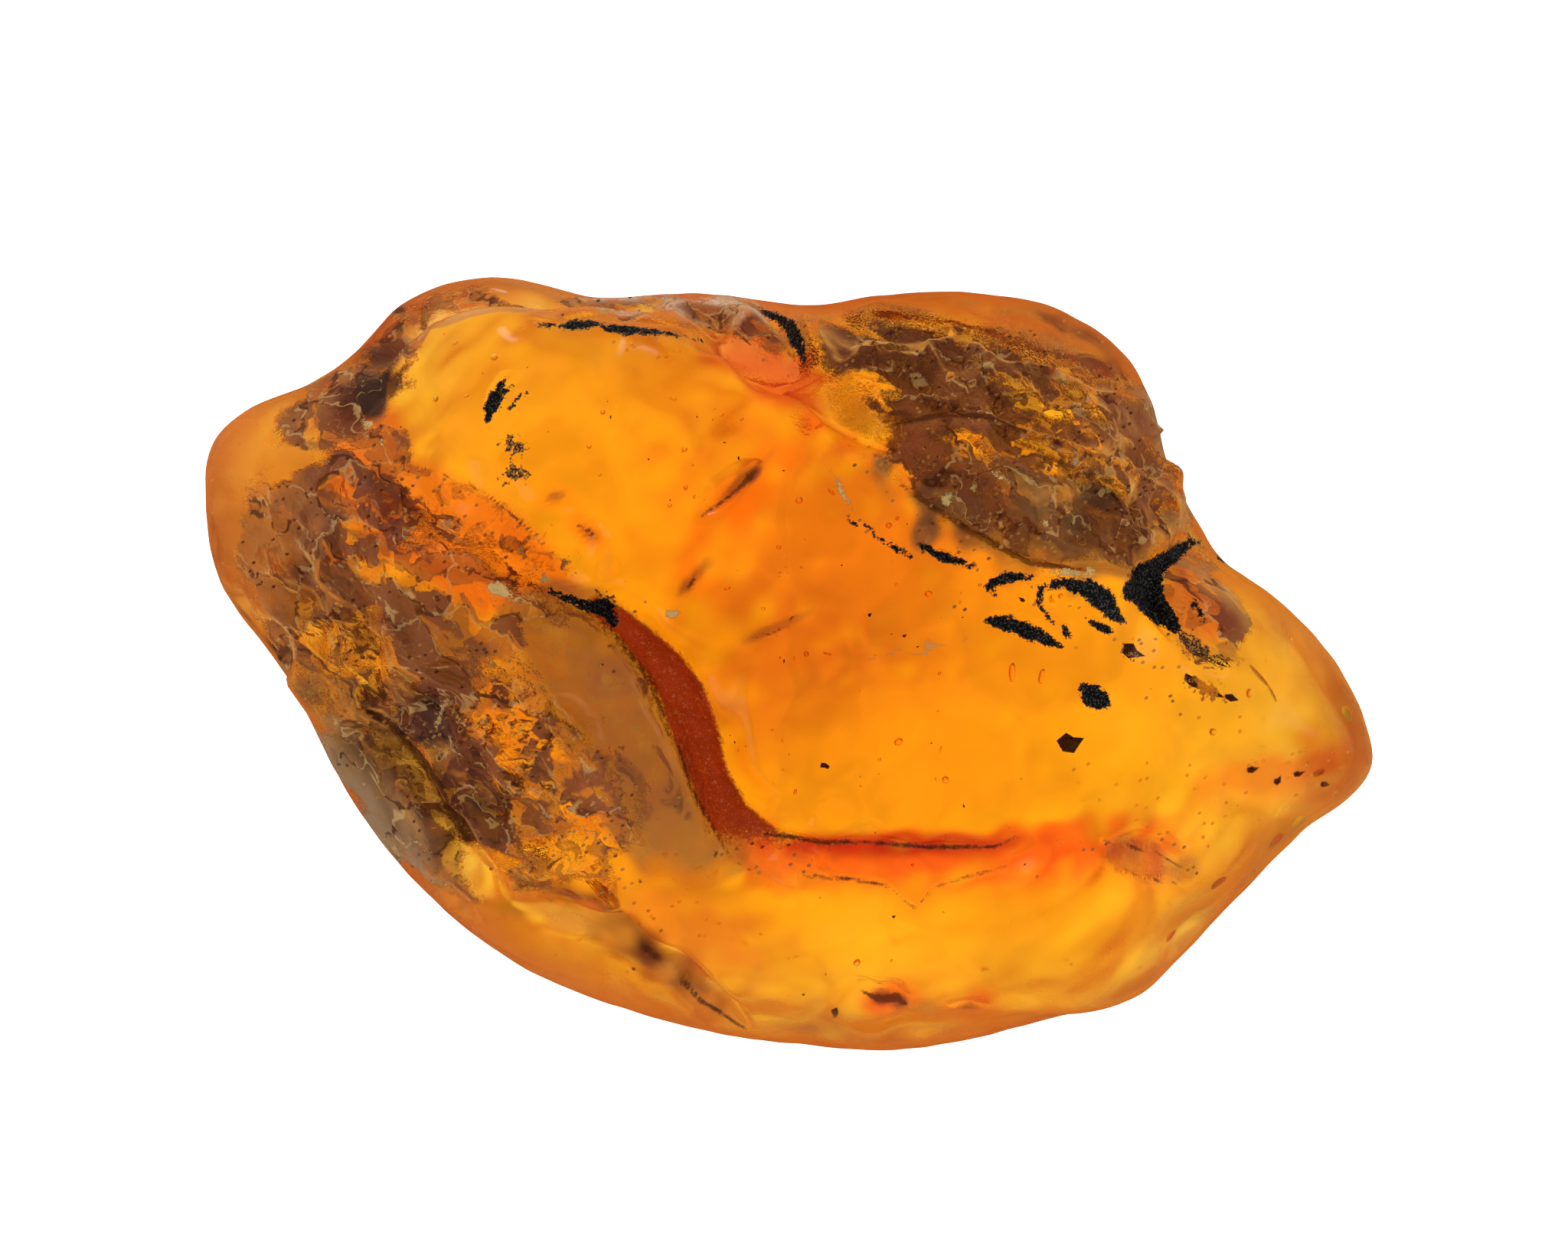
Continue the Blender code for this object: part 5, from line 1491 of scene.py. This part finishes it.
class AMBER_OT_bubbles(bpy.types.Operator):
    """Seal gas bubbles in the clear amber"""

    bl_idname = "amber.bubbles"
    bl_label = "Bubbles"

    def execute(self, context):
        shape, look = context.scene.amber_shape, context.scene.amber_look
        draw = np.random.default_rng(SEED + 100)
        scattered = scattered_places(draw, shape.bubble_count)
        radius = usual_sizes(draw, BUBBLE_RADIUS, len(scattered))
        squashed = radius[:, None] * draw.uniform(*BUBBLE_SQUASH, (len(scattered), 2))
        depth = draw.uniform(0.0, BUBBLE_DEEPEST, len(scattered))
        turn = draw.uniform(0, 360, len(scattered))
        loose = np.column_stack([scattered, depth, radius, squashed, turn])
        table = np.concatenate([np.array(BUBBLES, float), loose])
        ball, quads = rounded_cube(3)
        finish = bubble_finish(look)
        bubbles = add_inclusions("gas_bubbles", ball, quads, table, finish, draw, BUBBLE_LEAN)
        settle(bubbles)
        return {"FINISHED"}


class AMBER_OT_spangles(bpy.types.Operator):
    """Seal gilt stress spangles, which are thin curved discs, in the amber"""

    bl_idname = "amber.spangles"
    bl_label = "Spangles"

    def execute(self, context):
        draw = np.random.default_rng(SEED + 200)
        disc, quads = rounded_cube(5)
        dished = disc + np.array([0.0, 0.0, SPANGLE_DISH]) * (disc[:, :2] ** 2).sum(1)[:, None]
        finish = spangle_finish()
        spangles = add_inclusions("stress_spangles", dished, quads, SPANGLES, finish, draw, SPANGLE_LEAN)
        settle(spangles)
        return {"FINISHED"}


class AMBER_OT_debris(bpy.types.Operator):
    """Seal flakes of rotted wood and specks of dust in the amber"""

    bl_idname = "amber.debris"
    bl_label = "Plant debris"

    def execute(self, context):
        draw = np.random.default_rng(SEED + 300)
        scattered = scattered_places(draw, context.scene.amber_shape.dust_count)
        length = usual_sizes(draw, DUST_LENGTH, len(scattered))
        width = length * draw.uniform(*DUST_WIDTH, len(scattered))
        depth = draw.uniform(0.0, DUST_DEEPEST, len(scattered))
        turn = draw.uniform(0, 360, len(scattered))
        loose = np.column_stack([scattered, depth, length, width, width * DUST_HEIGHT, turn])
        table = np.concatenate([np.array(FLAKES, float), loose])
        flake, quads = rounded_cube(2)
        spacing, height = DEBRIS_LUMPS
        flake = flake * (1 + height * wave_field(flake, spacing, SEED + 301))[:, None]
        finish = debris_finish()
        debris = add_inclusions("plant_debris", flake, quads, table, finish, draw, DEBRIS_LEAN)
        settle(debris)
        return {"FINISHED"}


class AMBER_OT_stage(bpy.types.Operator):
    """Lay the opal light table, light the room and set up the camera over it"""

    bl_idname = "amber.stage"
    bl_label = "Light table and camera"

    def execute(self, context):
        stage = context.scene.light_table
        half = stage.table_size / 2 / MM
        corners = np.array([(-half, -half), (half, -half), (half, half), (-half, half)])
        sheet = np.column_stack([corners, np.full(4, TABLE_HEIGHT)])
        table = add_mesh("light_table", sheet, np.array([[0, 1, 2, 3]]), table_finish(stage))
        table.active_material.cycles.emission_sampling = "NONE"

        room = bpy.data.worlds.new("soft_room")
        nodes = Nodes(room)
        heading = nodes.add("TexCoord", out="Generated")
        sky = nodes.add("SeparateXYZ", None, {0: heading}, out="Z")
        dimmed = sky.rise(*ROOM_FADE)
        mirror = nodes.mirroring()
        strength = stage.horizon + dimmed * (stage.overhead - stage.horizon)
        strength = strength * (1 - mirror * (1 - stage.mirrored))
        for towards, edge, brightness in PANES:
            both = {0: heading, 1: towards}
            share = nodes.add("VectorMath", {"operation": "DOT_PRODUCT"}, both, out="Value")
            strength = strength + share.rise(*edge) * mirror * (brightness * stage.gleam)
        light = nodes.add("Background", None, {"Color": (1.0, 1.0, 1.0, 1.0), "Strength": strength})
        nodes.add("OutputWorld", None, {"Surface": light})
        room.cycles.sampling_method = "NONE"
        context.scene.world = room

        lens = bpy.data.cameras.new("copy_camera")
        lens.lens = stage.camera_lens
        lens.sensor_width = SENSOR_WIDTH
        lens.clip_start = NEAREST_SEEN
        camera = bpy.data.objects.new("copy_camera", lens)
        camera.location = stage.camera_place
        context.scene.collection.objects.link(camera)
        context.scene.camera = camera
        context.scene.view_settings.view_transform = "Standard"
        return {"FINISHED"}


class AMBER_PT_sidebar(bpy.types.Panel):
    """Lists the lump's settings and the steps that make it"""

    bl_idname = "AMBER_PT_sidebar"
    bl_label = "Amber piece"
    bl_space_type = "VIEW_3D"
    bl_region_type = "UI"
    bl_category = "Amber"

    def draw(self, context):
        for group in GROUPS:
            column = self.layout.column(align=True)
            settings = getattr(context.scene, group)
            for name in settings.bl_rna.properties.keys():
                if name not in {"rna_type", "name"}:
                    column.prop(settings, name)
        for step in STEPS:
            self.layout.operator(step.bl_idname)


STEPS = (AMBER_OT_lump, AMBER_OT_bubbles, AMBER_OT_spangles, AMBER_OT_debris, AMBER_OT_stage)
GROUPS = {"amber_shape": AmberShape, "amber_look": AmberLook, "light_table": LightTable}
CLASSES = (*GROUPS.values(), *STEPS, AMBER_PT_sidebar)


def register():
    for each in CLASSES:
        bpy.utils.register_class(each)
    for name, group in GROUPS.items():
        setattr(bpy.types.Scene, name, bpy.props.PointerProperty(type=group))


def unregister():
    for name in GROUPS:
        delattr(bpy.types.Scene, name)
    for each in reversed(CLASSES):
        bpy.utils.unregister_class(each)


def main():
    register()
    bpy.ops.amber.lump()
    bpy.ops.amber.bubbles()
    bpy.ops.amber.spangles()
    bpy.ops.amber.debris()
    bpy.ops.amber.stage()


if __name__ == "__main__":
    main()
